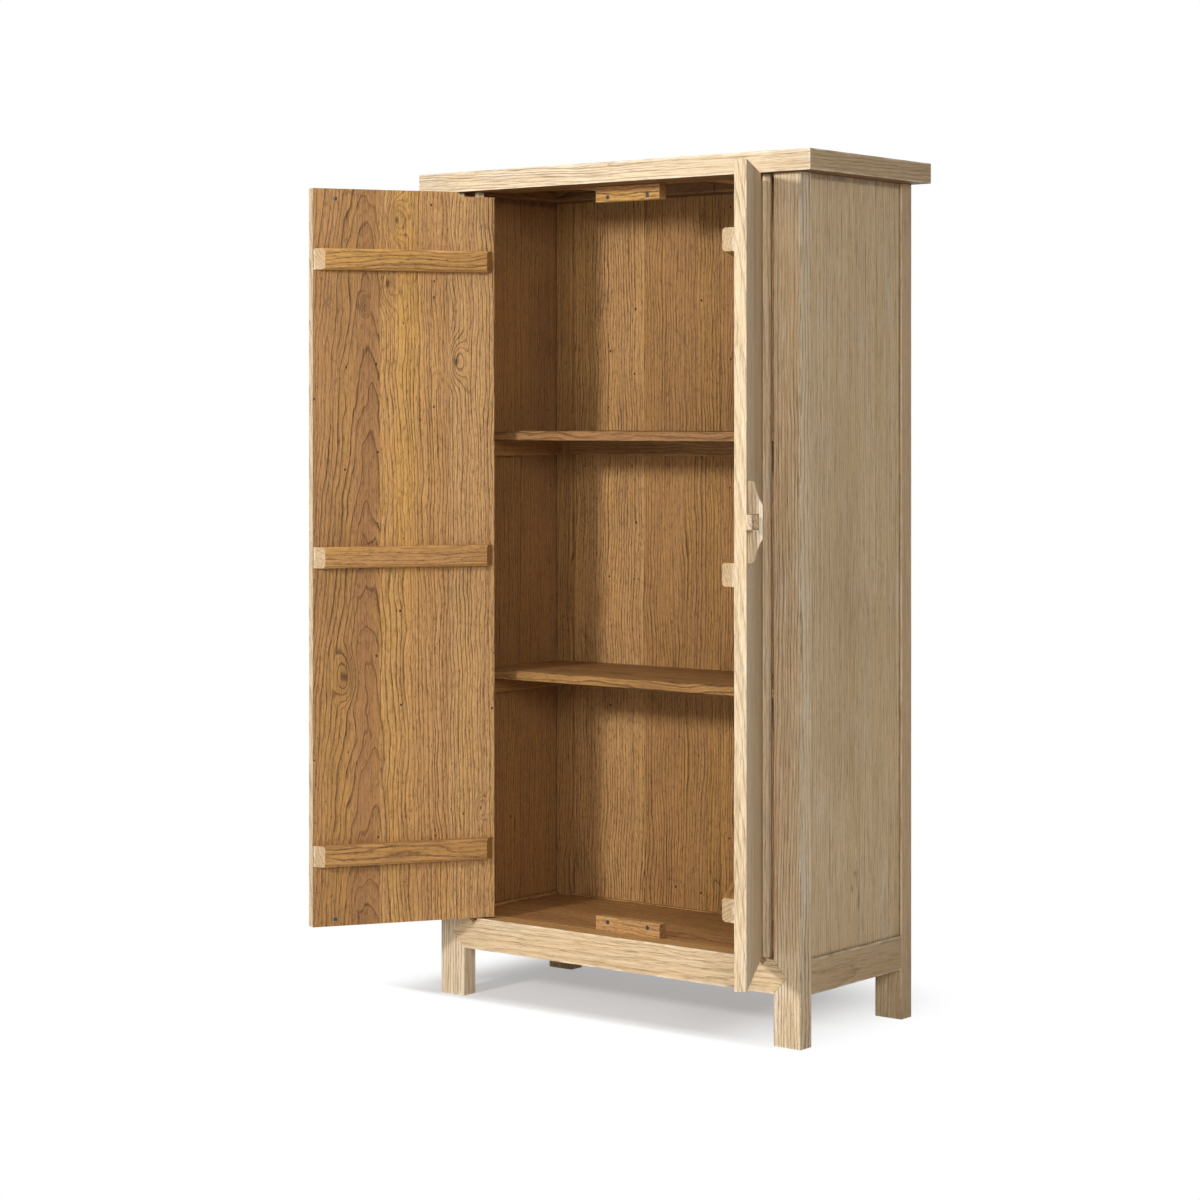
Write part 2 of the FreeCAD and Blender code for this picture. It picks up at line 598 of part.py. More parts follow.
def strike_discs(door):
    """The two round strike discs let into the inner face, opposite the magnets."""
    along = PIVOT_X - MAGNET_FROM_MIDDLE
    discs = []
    for z in (BOTTOM_MAGNET_Z, TOP_MAGNET_Z):
        start = FreeCAD.Vector(door.x(along), PIVOT_Y + INNER_FACE, z)
        discs.append(Part.makeCylinder(MAGNET_RADIUS, STRIKE_THICKNESS, start, FreeCAD.Vector(0, -1, 0)))
    return discs


def make_door_boards(door):
    """Three edge-glued boards: notched at the hinge corner, bevelled at the free edge."""
    z = (DOOR_BOTTOM, DOOR_TOP)
    depth = (OUTER_FACE, INNER_FACE)
    first = HINGE_EDGE + HINGE_BOARD_WIDTH
    second = first + MIDDLE_BOARD_WIDTH
    hinge_board = door.block((HINGE_EDGE, first), depth, z)
    notch_end = HINGE_EDGE + LIFT_NOTCH_LENGTH
    notch = [(HINGE_EDGE, DOOR_TOP), (HINGE_EDGE, DOOR_TOP - LIFT_NOTCH_DEPTH),
             (notch_end, DOOR_TOP - LIFT_NOTCH_DEPTH), (notch_end + LIFT_NOTCH_SLOPE, DOOR_TOP)]
    door.save("hinge_board", hinge_board.cut(door.face(notch, depth)))
    door.save("middle_board", door.block((first, second), depth, z))
    corners = [(second, OUTER_FACE), (FREE_EDGE, OUTER_FACE),
               (FREE_EDGE - FREE_EDGE_BEVEL, INNER_FACE), (second, INNER_FACE)]
    discs = strike_discs(door)
    door.save("free_board", door.plan(corners, z).cut(Part.makeCompound(discs)))
    door.save("strike_discs", *discs)


def make_door_battens(door):
    """Three battens across the inner face, with bevelled ends and chamfered edges."""
    start = HINGE_EDGE + DOOR_BATTEN_HINGE_INSET
    end = FREE_EDGE - FREE_EDGE_BEVEL - DOOR_BATTEN_FREE_INSET
    front = INNER_FACE + DOOR_BATTEN_THICKNESS
    ends = [(start, INNER_FACE), (end, INNER_FACE),
            (end - DOOR_BATTEN_END_BEVEL, front), (start + DOOR_BATTEN_END_BEVEL, front)]
    half = DOOR_BATTEN_HEIGHT / 2
    for place, step in (("lower", -1), ("middle", 0), ("upper", 1)):
        middle = DOOR_MIDDLE + step * DOOR_BATTEN_SPACING
        bevelled = door.plan(ends, (middle - half, middle + half))
        section = [(INNER_FACE, middle - half), (front - DOOR_BATTEN_CHAMFER, middle - half),
                   (front, middle - half + DOOR_BATTEN_CHAMFER), (front, middle + half - DOOR_BATTEN_CHAMFER),
                   (front - DOOR_BATTEN_CHAMFER, middle + half), (INNER_FACE, middle + half)]
        door.save("%s_batten" % place, bevelled.common(door.outline(section, start, end - start)))


def make_pivot_bar(door):
    """The round-nosed bar with a conical tip below and a round pin above."""
    bottom = FRONT_RAIL_TOP + PIVOT_BAR_END_GAP
    top = POST_HEIGHT - PIVOT_BAR_END_GAP
    base = FreeCAD.Vector(door.x(0), PIVOT_Y, bottom)
    bar = Part.makeCylinder(PIVOT_BAR_RADIUS, top - bottom, base, UP)
    half = (-PIVOT_BAR_RADIUS, PIVOT_BAR_RADIUS)
    bar = bar.fuse(door.block(half, (0.0, OUTER_FACE), (bottom, top))).removeSplitter()
    tip_bottom = FRONT_RAIL_TOP - PIVOT_TIP_DEPTH
    start = FreeCAD.Vector(door.x(0), PIVOT_Y, tip_bottom)
    tip = Part.makeCone(PIVOT_TIP_RADIUS, PIVOT_BAR_RADIUS, bottom - tip_bottom, start, UP)
    start = FreeCAD.Vector(door.x(0), PIVOT_Y, top)
    pin = Part.makeCylinder(PIVOT_PIN_RADIUS, PIVOT_BAR_END_GAP + PIVOT_PIN_LENGTH, start, UP)
    door.save("pivot_bar", bar.fuse(tip).fuse(pin))


def pull_profile():
    """Upright outline of a pull as (inward, height) points, with the curves between them as arcs."""
    def point(projection, height):
        return FreeCAD.Vector(OUTER_FACE - projection, PULL_CENTRE_HEIGHT + height, 0)
    tip, waist, straight = PULL_HEIGHT / 2, PULL_WAIST_HEIGHT / 2, PULL_STRAIGHT_HEIGHT / 2
    bend = PULL_TIP_RADIUS * (1 - math.sqrt(0.5))
    swell = (waist + straight) / 2
    sag = (PULL_PROJECTION - PULL_WAIST_PROJECTION) / 2 + PULL_WAIST_PROJECTION
    hollow = (sag - PULL_WAIST_PROJECTION) * PULL_HOLLOW_SHARE
    corner = point(PULL_TIP_PROJECTION - PULL_TIP_RADIUS, tip)
    rounded = point(PULL_TIP_PROJECTION - bend, tip - bend)
    shoulder = point(PULL_TIP_PROJECTION, tip - PULL_TIP_RADIUS)
    waist_point = point(PULL_WAIST_PROJECTION, waist)
    upper = [(point(0, tip), corner), (corner, rounded, shoulder), (shoulder, waist_point),
             (waist_point, point(sag - hollow, swell), point(PULL_PROJECTION, straight))]
    edges = []
    for run in upper:
        flipped = [FreeCAD.Vector(p.x, 2 * PULL_CENTRE_HEIGHT - p.y, 0) for p in run]
        for points in (run, flipped):
            curve = Part.LineSegment(*points) if len(points) == 2 else Part.Arc(*points)
            edges.append(curve.toShape())
    for projection, height in ((PULL_PROJECTION, straight), (0, tip)):
        edges.append(Part.LineSegment(point(projection, height), point(projection, -height)).toShape())
    return Part.Face(Part.Wire(Part.__sortEdges__(edges)))


def make_pull(door):
    """An ogee-sided pull on the outer face with a slot through it for the latch bolt."""
    pull = pull_profile().extrude(FreeCAD.Vector(0, 0, PULL_WIDTH))
    sides = [edge for edge in pull.Edges if edge.BoundBox.ZLength < PULL_EDGE_EASING
             and edge.BoundBox.XMin < OUTER_FACE - PULL_EDGE_EASING]
    pull = pull.makeFillet(PULL_EDGE_EASING, sides)
    # The outline was drawn lying down: stand it up with its width along the door.
    stand = FreeCAD.Matrix(0, 0, -door.side, door.x(PULL_FAR_SIDE), 1, 0, 0, PIVOT_Y, 0, 1, 0, 0)
    pull = pull.transformGeometry(stand)
    slot_z = (PULL_CENTRE_HEIGHT - SLOT_HEIGHT / 2, PULL_CENTRE_HEIGHT + SLOT_HEIGHT / 2)
    slot = door.block((PULL_FAR_SIDE, PULL_NEAR_SIDE), (OUTER_FACE - SLOT_DEPTH, OUTER_FACE), slot_z)
    door.save("pull", pull.cut(slot))


def make_latch_bolt(door):
    """The sliding bolt: a tongue, a finger lug on it and a tail that stops at the pull."""
    near = FREE_EDGE + BOLT_REST_REACH
    tail_near = PULL_FAR_SIDE - BOLT_LOCK_TRAVEL - BOLT_CLEARANCE
    tail_far = tail_near - BOLT_TAIL_LENGTH
    back = OUTER_FACE - BOLT_CLEARANCE
    step = back - BOLT_TONGUE_THICKNESS
    front = step - BOLT_LUG_THICKNESS
    z = (PULL_CENTRE_HEIGHT - BOLT_HEIGHT / 2, PULL_CENTRE_HEIGHT + BOLT_HEIGHT / 2)
    tail_z = (PULL_CENTRE_HEIGHT - BOLT_TAIL_HEIGHT / 2, PULL_CENTRE_HEIGHT + BOLT_TAIL_HEIGHT / 2)
    bolt = door.block((tail_far, near), (step, back), z)
    bolt = bolt.fuse(door.block((tail_far, PULL_NEAR_SIDE - BOLT_LUG_SET_BACK), (front, step), z))
    bolt = bolt.fuse(door.block((tail_far, tail_near), (front, back), tail_z))
    door.save("latch_bolt", bolt.removeSplitter())


def make_door(door):
    make_door_boards(door)
    make_door_battens(door)
    make_pivot_bar(door)
    make_pull(door)


os.makedirs("parts", exist_ok=True)
make_posts()
make_front_rail()
make_back_rail()
make_side_rails()
make_side_panels()
make_back_boards()
make_floor()
make_shelf("lower", LOWER_SHELF_HEIGHT)
make_shelf("upper", UPPER_SHELF_HEIGHT)
make_top()
make_stop_blocks()
left_door = Door(-1, "left_door", LEFT_DOOR_REST_ANGLE)
right_door = Door(1, "right_door", RIGHT_DOOR_REST_ANGLE)
make_door(left_door)
make_door(right_door)
make_latch_bolt(right_door)
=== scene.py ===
import json
import math
import random

import bmesh
import bpy
from bpy.props import FloatProperty, FloatVectorProperty, IntProperty, PointerProperty, StringProperty
from bpy.types import Operator, Panel, PropertyGroup
from mathutils import Matrix, Vector, noise


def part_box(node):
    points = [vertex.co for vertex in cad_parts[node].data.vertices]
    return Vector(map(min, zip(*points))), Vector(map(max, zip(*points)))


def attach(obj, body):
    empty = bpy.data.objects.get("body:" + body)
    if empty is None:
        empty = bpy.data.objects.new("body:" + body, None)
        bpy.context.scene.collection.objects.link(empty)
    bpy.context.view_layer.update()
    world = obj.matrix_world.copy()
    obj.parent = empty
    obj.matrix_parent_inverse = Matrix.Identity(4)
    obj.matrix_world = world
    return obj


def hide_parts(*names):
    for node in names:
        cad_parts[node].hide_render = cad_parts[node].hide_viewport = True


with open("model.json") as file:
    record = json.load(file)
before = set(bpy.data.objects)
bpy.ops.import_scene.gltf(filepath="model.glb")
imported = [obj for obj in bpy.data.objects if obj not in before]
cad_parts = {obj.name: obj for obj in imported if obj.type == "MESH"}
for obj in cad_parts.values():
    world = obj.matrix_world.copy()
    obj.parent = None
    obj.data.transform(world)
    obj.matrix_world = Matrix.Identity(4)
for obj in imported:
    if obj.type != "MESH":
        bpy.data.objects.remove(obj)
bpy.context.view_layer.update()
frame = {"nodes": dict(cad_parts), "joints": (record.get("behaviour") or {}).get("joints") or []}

bl_info = {
    "name": "Wooden Storage Cabinet",
    "version": (1, 0, 0),
    "blender": (4, 5, 0),
    "location": "View3D > Sidebar > Cabinet",
    "description": "Builds the looks of a two-door elm storage cabinet around its fixed CAD frame",
    "category": "Object",
}

RIGHT = Vector((1.0, 0.0, 0.0))
BACK = Vector((0.0, 1.0, 0.0))
UP = Vector((0.0, 0.0, 1.0))
WHITE = (1.0, 1.0, 1.0, 1.0)
SEEN_RAYS = ("Is Camera Ray", "Is Glossy Ray", "Is Transmission Ray")

# The two finishes by their place in a wooden piece's list of materials, and names of values that it keeps
BLEACHED = 0
HONEY = 1
KNOTS = ("first_knot", "second_knot")
TONES = ("honey_tone", "bleached_tone")
TONE_SPREAD = 0.4

# A figure: across the board to the pith, back to the pith, and the taper of the rings
STRAIGHT_FIGURE = (0.300, 0.050, 0.004)
GOLDEN_FIGURE = (0.105, 0.060, 0.006)

# Between what limits other figures and knots are drawn. A knot is its place across and along, and its size
FIGURE_RANGES = ((-0.14, 0.14), (0.05, 0.16), (-0.03, 0.03))
KNOT_RANGES = ((-0.14, 0.14), (-0.8, 0.8), (0.006, 0.020))

# Each door board's figure, honey tone and knots
DOOR_FIGURES = {"hinge": ((0.250, 0.060, 0.006), 0.65, ((0.035, 0.420, 0.036), (-0.020, -0.550, 0.020))),
                "middle": ((0.120, 0.050, 0.016), 0.15, ((0.060, 0.587, 0.040), (0.040, 0.725, 0.034))),
                "free": ((-0.045, 0.045, 0.070), -0.80, ((0.000, -0.258, 0.036), (-0.042, 0.540, 0.016)))}

# Each door board's bleached tone and strength of the ring lines. The right door's hinge and middle boards
# are darker: painted shade for their outer faces, which look away from the key light
DOOR_TONES = {"left": {"hinge": (0.4, 0.75), "middle": (0.4, 0.80), "free": (0.4, 1.0)},
              "right": {"hinge": (-0.3, 1.0), "middle": (-0.3, 1.0), "free": (0.3, 0.5)}}

# Each post's row, hand, side of the middle, bleached tone, honey tone and strength of the ring lines. The
# front posts' honey tones are very dark: painted shade on the faces that look across the door opening
POSTS = (("front", "left", -1.0, 0.95, -2.0, 0.8), ("front", "right", 1.0, 0.45, -3.5, 1.0),
         ("back", "left", -1.0, 0.0, -1.4, 1.0), ("back", "right", 1.0, -0.6, -0.5, 1.0))
BACK_TONES = (-0.3, 0.3, -0.7, -0.5)

# The wood's noises: counts per metre across and along the grain, detail and roughness
GRAIN = {
    "drift of the rings": (4.0, 0.9, 2.0, 0.5),
    "waves of the rings": (14.0, 5.0, 2.0, 0.5),
    "ripples of the rings": (70.0, 14.0, 2.0, 0.5),
    "soft lines": (26.0, 5.0, 2.0, 0.5),
    "crisp lines": (11.0, 1.6, 2.0, 0.5),
    "zones": (9.0, 1.2, 2.0, 0.5),
    "bands": (20.0, 0.8, 2.0, 0.5),
    "broad shades": (4.0, 2.2, 3.0, 0.5),
    "streaks": (210.0, 1.6, 2.0, 0.6),
    "specks": (700.0, 60.0, 1.0, 0.5),
    "fibres": (1500.0, 26.0, 3.0, 0.65),
    "chalk": (24.0, 6.0, 3.0, 0.5),
    "wear": (70.0, 24.0, 3.0, 0.5),
    "cracks": (34.0, 2.4, 3.0, 0.5),
    "crack places": (9.0, 3.0, 2.0, 0.5),
}
NOISE_MIDDLE = 0.5
FLECKS_PER_METRE = 290.0
PORES_ALONG = 18.0
SEED_SHIFT = 40.0

# Limits between which each mark rises from none to full
LIMITS = {
    # Of a noise
    "soft lines": (0.30, 0.70),
    "crisp lines": (0.40, 0.62),
    "bands": (0.42, 0.68),
    "broad shades": (0.46, 0.80),
    "streaks": (0.45, 0.70),
    "specks": (0.58, 0.66),
    "pores": (0.52, 0.64),
    "light flecks": (0.30, 0.50),
    "dark flecks": (0.50, 0.72),
    "chalk": (0.48, 0.72),
    "wear": (0.40, 0.62),
    "crack places": (0.62, 0.70),
    "steel spots": (0.35, 0.70),
    # Of the distance from a noise's middle
    "crack sides": (0.002, 0.009),
    # Of the way from one ring to the next
    "soft line starts": (0.35, 0.92),
    "soft line ends": (0.94, 1.00),
    "crisp line ends": (0.92, 1.00),
    "hairline starts": (0.45, 0.90),
    # Of the distance from the pith, or along the board from its middle, in metres
    "heart ends": (0.008, 0.042),
    "golden zone starts": (-0.150, -0.105),
    "golden zone ends": (-0.092, -0.058),
    "golden zone fills": (-0.35, 0.10),
    # Of the distance from a knot's middle, in knot sizes
    "knot ends": (0.00, 1.00),
    "eye ends": (0.04, 0.15),
    # Of the number drawn for a pin knot
    "pin shows": (0.70, 0.71),
    "pin grows": (0.72, 1.00),
}

# Where a crisp line starts and is full on the way to the next ring, and how much later in the heart, how
# much weaker soft lines are there, and the hairlines' count and shift
CRISP_STARTS = (0.74, 0.88)
CRISP_LATER = (0.13, 0.02)
SOFT_WEAKER = 0.6
HAIRLINES_PER_RING = 2.0
HAIRLINE_SHIFT = 0.3

# How far the rings drift, in ring wanders, and ripple, in metres, how unevenly wide they are, and how far
# the colour zones wander, in metres
RING_DRIFT = 2.2
RING_RIPPLE = 0.004
UNEVEN_STEP = 0.37
UNEVEN_RINGS = 2.2
ZONE_WANDER = 0.06

# How much a distance along the grain counts for knots and pin knots, and a pin knot's size and middle
KNOT_ALONG = 0.45
PIN_ALONG = 0.8
PIN_SIZE = 0.012
PIN_GROWTH = 0.030
PIN_MIDDLE = 0.6

# How much of a mark is left where the noise or line that varies it is weakest, the painted shade along
# edges among them
LEAST = {"soft lines": 0.3, "crisp lines": 0.35, "pores": 0.45, "golden zone": 0.3, "wear": 0.2,
         "grime": 0.5}

# How strongly each mark shows in the colour
SHARES = {"bands": 0.6, "heart": 0.5, "pale tone": 0.45, "light flecks": 0.5, "soft lines": 0.5,
          "crisp lines": 0.5, "hairlines": 0.2, "streaks": 0.24, "broad shades": 0.30, "knots": 0.20,
          "dark tone": 0.22, "pores": 0.75, "specks": 0.6, "cracks": 0.5, "pin knots": 0.92, "eyes": 0.75}

# What is left of the dark colour in the darkest marks, the painted shade along edges among them
DARKENED = {"pores": 0.55, "grime": 0.5, "spots": 0.25}

# How far each mark raises the surface, in bump depths, and how much rougher it makes it
RELIEF = {"flecks": 0.5, "soft lines": -0.3, "crisp lines": -0.8, "pores": -0.9, "pin knots": -1.2,
          "cracks": -1.0, "broad shades": 0.3}
ROUGHER = {"fibres": 0.16, "soft lines": 0.06, "bands": -0.05}
WOOD_BUMP = 0.7
WOOD_SHINE = 0.35

# Steel: colours, counts of spots per metre, and counts of turning marks round and along a piece
STEEL_DARK = (0.035, 0.040, 0.050, 1.0)
STEEL_LIGHT = (0.110, 0.120, 0.145, 1.0)
STEEL_SPOTS = 900.0
STEEL_MARKS_ROUND = 300.0
STEEL_MARKS_ALONG = 6000.0

# The studio floor's two whites and the size of its mottle
FLOOR_WHITES = ((0.89, 0.89, 0.89, 1.0), (0.90, 0.90, 0.90, 1.0))
FLOOR_MOTTLE = 3.0

# Each light's power setting, width, place and target
LIGHTS = {"key_light": ("key_power", 0.6, (-0.5, -5.5, 2.6), (0.0, 0.0, 0.9)),
          "fill_light": ("fill_power", 1.6, (4.5, -5.0, 2.5), (0.0, 0.0, 0.9)),
          "top_light": ("top_power", 1.6, (0.0, -0.6, 4.6), (0.0, -0.3, 0.0))}
SENSOR_WIDTH = 36.0

# How the floor is painted white round the cabinet, a glow that lightens its shadow even beneath it and
# wipes it out in front: how steeply to the left and in front, how far in from the right posts it starts,
# how white it is at least, and over what distance it turns
WHITER_LEFT = 2.0
WHITER_FRONT = 10.0
WHITER_FROM_RIGHT = 0.34
LEAST_WHITE = 0.36
WHITE_REACH = 0.40

# The closed room inside the cabinet, the posts' footprint, and how far in front of a face it is looked for
LEFT_PANEL_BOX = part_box("left_side_panel")
RIGHT_PANEL_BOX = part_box("right_side_panel")
INSIDE_LOW = Vector((LEFT_PANEL_BOX[0].x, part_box("top_stop_block")[0].y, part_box("floor_panel")[0].z))
INSIDE_HIGH = Vector((RIGHT_PANEL_BOX[1].x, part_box("back_board_1")[1].y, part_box("top_panel")[1].z))
FOOTPRINT = (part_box("post_front_left")[0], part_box("post_back_right")[1])
FACE_REACH = 0.004

# How nearly a face has to point a way: 1 is exactly
ABOUT = 0.7
SQUARELY = 0.95
BEVELLED = 0.4

# Sizes that guide the copying of CAD meshes
MERGE_DISTANCE = 0.00002
CUT_DISTANCE = 0.00001
FLAT_ANGLE = math.radians(1.0)
SHARP_ANGLE = math.radians(28.0)
DIPS_PER_METRE = 14.0
DIP_SHIFT = 50.0


# Settings

def colour_field(name, description, default):
    """A colour on the panel."""
    return FloatVectorProperty(name=name, description=description, subtype="COLOR", size=3, default=default)


def share_field(name, description, default):
    """A strength of about 0 to 1 on the panel."""
    return FloatProperty(name=name, description=description, subtype="FACTOR", default=default)


def length_field(name, description, default):
    """A length on the panel, in metres."""
    return FloatProperty(name=name, description=description, unit="LENGTH", default=default)


def power_field(name, description, default):
    """A light's power on the panel, in watts."""
    return FloatProperty(name=name, description=description, unit="POWER", default=default)


class WoodSettings(PropertyGroup):
    """Grain sizes shared by every wooden piece."""
    ring_wander: length_field("Ring wander", "How far the rings wander from true circles", 0.016)
    bump_depth: length_field("Bump depth", "Depth of the open grain", 0.0020)
    wear_width: length_field("Wear width", "Width of the worn band along the edges", 0.0060)
    knot_rise: length_field("Knot rise", "How far a knot pushes the rings aside", 0.030)
    pins_per_metre: FloatProperty(
        name="Pins per metre", description="How closely the pin knots are scattered", default=14.0)


class BleachedSettings(PropertyGroup):
    """Colours of the bleached outside."""
    tone_name: StringProperty(
        name="Tone", description="Which of a piece's tones this wood takes", default="bleached_tone")
    light: colour_field("Light wood", "Colour between the rings", (0.830, 0.628, 0.386))
    dark: colour_field("Dark wood", "Colour of the ring lines", (0.360, 0.222, 0.105))
    streak: colour_field("Streak", "Colour of the broad streaks", (0.800, 0.560, 0.300))
    worn: colour_field("Worn edge", "Colour of the worn edges", (0.890, 0.780, 0.610))
    heart: colour_field("Heart", "Colour of the wood near the pith", (0.620, 0.420, 0.235))
    ring_width: length_field("Ring width", "Mean distance between growth rings", 0.0068)
    contrast: share_field("Contrast", "How strongly the rings show", 0.62)
    stipple: share_field("Stipple", "How strongly the short flecks show", 0.44)
    flecks_along: FloatProperty(
        name="Flecks along", description="How closely the flecks follow each other along the grain",
        default=14.0)
    pores: share_field("Pores", "How strongly the open pores show", 0.36)
    pores_per_metre: FloatProperty(
        name="Pores per metre", description="How closely the pores lie across the grain", default=480.0)
    waves: FloatProperty(name="Waves", description="How much the rings wave", default=0.8)
    wear: share_field("Wear", "How strongly worn edges show", 0.85)
    knots: share_field("Knots", "How strongly the knots show", 0.0)
    chalk: share_field("Chalk", "How strongly pale worn patches show", 0.38)
    roughness: share_field("Roughness", "Roughness of the dry surface", 0.72)


class HoneySettings(PropertyGroup):
    """Colours of the oiled inside."""
    tone_name: StringProperty(
        name="Tone", description="Which of a piece's tones this wood takes", default="honey_tone")
    light: colour_field("Light wood", "Colour between the rings", (0.550, 0.286, 0.098))
    dark: colour_field("Dark wood", "Colour of the ring lines", (0.105, 0.040, 0.011))
    streak: colour_field("Streak", "Colour of the broad streaks", (0.620, 0.330, 0.080))
    worn: colour_field("Worn edge", "Colour of the worn edges", (0.690, 0.450, 0.210))
    heart: colour_field("Heart", "Colour of the wood near the pith", (0.380, 0.175, 0.066))
    ring_width: length_field("Ring width", "Mean distance between growth rings", 0.0078)
    contrast: share_field("Contrast", "How strongly the rings show", 0.80)
    stipple: share_field("Stipple", "How strongly the short flecks show", 0.42)
    flecks_along: FloatProperty(
        name="Flecks along", description="How closely the flecks follow each other along the grain",
        default=80.0)
    pores: share_field("Pores", "How strongly the open pores show", 0.42)
    pores_per_metre: FloatProperty(
        name="Pores per metre", description="How closely the pores lie across the grain", default=350.0)
    waves: FloatProperty(name="Waves", description="How much the rings wave", default=1.9)
    wear: share_field("Wear", "How strongly worn edges show", 0.25)
    knots: share_field("Knots", "How strongly the knots show", 1.0)
    chalk: share_field("Chalk", "How strongly pale worn patches show", 0.12)
    roughness: share_field("Roughness", "Roughness of the oiled surface", 0.52)


class EdgeSettings(PropertyGroup):
    """How the edges of the pieces are softened."""
    softness: length_field("Softness", "Rounding of the edges of the wooden pieces", 0.0011)
    glued_softness: length_field(
        "Glued softness", "Rounding of the edges of boards that are glued side by side", 0.0003)
    metal_softness: length_field("Metal softness", "Rounding of the edges of the metal pieces", 0.0004)
    segments: IntProperty(name="Segments", description="Steps in each rounded edge", default=2)
    waviness: length_field("Waviness", "How far the hand-planed faces dip", 0.0004)
    wave_spacing: length_field(
        "Wave spacing", "Distance between the cuts that carry the waviness", 0.05)


class StageSettings(PropertyGroup):
    """Camera, lights and floor."""
    camera_place: FloatVectorProperty(
        name="Camera place", description="Where the camera stands", subtype="TRANSLATION",
        size=3, default=(3.7258, -4.8257, 1.2624))
    camera_turn: FloatProperty(
        name="Camera turn", description="Turn of the level camera about the upright axis",
        default=math.radians(38.20), subtype="ANGLE")
    lens: FloatProperty(name="Lens", description="Focal length in millimetres", default=86.52)
    shift_y: FloatProperty(
        name="Shift", description="Rise of the level camera's picture", default=-0.1510)
    key_power: power_field("Key power", "Power of the front light", 188.0)
    top_power: power_field("Top power", "Power of the overhead light", 60.0)
    fill_power: power_field("Fill power", "Power of the light beside the camera", 150.0)
    room_light: FloatProperty(
        name="Room light", description="Strength of the light from all round", default=0.150)
    floor_size: length_field("Floor size", "Half the floor's width", 18.0)


# Shader maths

class Graph:
    """The node tree of a material or a world, with one method that adds a node."""

    def __init__(self, owner):
        owner.use_nodes = True
        self.tree = owner.node_tree
        self.tree.nodes.clear()

    def node(self, kind, settings, inputs, *outputs):
        """Add a node, set its settings and feed its inputs.

        Returns the outputs that are named or numbered, or else the first one, if the node has any.
        """
        made = self.tree.nodes.new(kind)
        for name, value in settings.items():
            setattr(made, name, value)
        for name, value in inputs.items():
            if isinstance(value, Term):
                self.tree.links.new(value.socket, made.inputs[name])
            else:
                made.inputs[name].default_value = value
        terms = [Term(self, made.outputs[output]) for output in outputs or range(len(made.outputs))]
        return terms if len(outputs) > 1 else next(iter(terms), None)


class Term:
    """A socket that adds, multiplies and so on like a number."""

    def __init__(self, graph, socket):
        self.graph = graph
        self.socket = socket

    def reckon(self, operation, *values):
        return self.graph.node("ShaderNodeMath", {"operation": operation}, dict(enumerate(values)))

    def __add__(self, other):
        return self.reckon("ADD", self, other)

    def __radd__(self, other):
        return self.reckon("ADD", other, self)

    def __sub__(self, other):
        return self.reckon("SUBTRACT", self, other)

    def __rsub__(self, other):
        return self.reckon("SUBTRACT", other, self)

    def __mul__(self, other):
        return self.reckon("MULTIPLY", self, other)

    def __rmul__(self, other):
        return self.reckon("MULTIPLY", other, self)

    def __truediv__(self, other):
        return self.reckon("DIVIDE", self, other)

    def __rtruediv__(self, other):
        return self.reckon("DIVIDE", other, self)

    def __abs__(self):
        return self.reckon("ABSOLUTE", self)

    def least(self, other):
        return self.reckon("MINIMUM", self, other)

    def most(self, other):
        return self.reckon("MAXIMUM", self, other)

    def fraction(self):
        return self.reckon("FRACT", self)

    def root(self):
        return self.reckon("SQRT", self)

    def rise(self, low, high):
        """0 below low, 1 above high, and a smooth rise between them."""
        settings = {"interpolation_type": "SMOOTHSTEP"}
        inputs = {"Value": self, "From Min": low, "From Max": high}
        return self.graph.node("ShaderNodeMapRange", settings, inputs)


def split(graph, vector):
    """The three parts of a vector."""
    return graph.node("ShaderNodeSeparateXYZ", {}, {0: vector}, "X", "Y", "Z")


def join(graph, x, y, z):
    """A vector from three parts."""
    return graph.node("ShaderNodeCombineXYZ", {}, {0: x, 1: y, 2: z})


def attribute(graph, name, output):
    """A value kept on the mesh: the output is Vector for a vector and Fac for a number."""
    return graph.node("ShaderNodeAttribute", {"attribute_name": name}, {}, output)


def clouds(graph, vector, detail=2.0, roughness=0.5):
    """Soft noise of about 0 to 1."""
    return graph.node("ShaderNodeTexNoise", {}, {
        "Vector": vector, "Scale": 1.0, "Detail": detail, "Roughness": roughness})


def blend(graph, factor, first, second):
    """A mix of two colours. The node's colour sockets are numbered here, as others have the same names."""
    settings = {"data_type": "RGBA", "clamp_factor": True}
    return graph.node("ShaderNodeMix", settings, {0: factor, 6: first, 7: second}, 2)


def opaque(colour, share=1.0):
    """A colour, or a darker share of it, with full alpha for a socket."""
    return (*[part * share for part in colour], 1.0)


def at_least(least, mark):
    """A mark that is kept from falling below its least."""
    return least + mark * (1.0 - least)


def weighed(marks, weights):
    """The sum of the marks that have weights, each times its own."""
    return sum(marks[name] * weight for name, weight in weights.items())


def cells(graph, vector, scale):
    """Distance to the nearest scattered point, and a number drawn for that point."""
    settings = {"voronoi_dimensions": "2D"}
    inputs = {"Vector": vector, "Scale": scale}
    distance, drawn = graph.node("ShaderNodeTexVoronoi", settings, inputs, "Distance", "Color")
    return distance, split(graph, drawn)[0]


def seen_rays(graph):
    """1 for the rays that show the surround: the camera's, and those through gloss and glass."""
    camera, glossy, through = graph.node("ShaderNodeLightPath", {}, {}, *SEEN_RAYS)
    return camera + glossy + through


# Materials

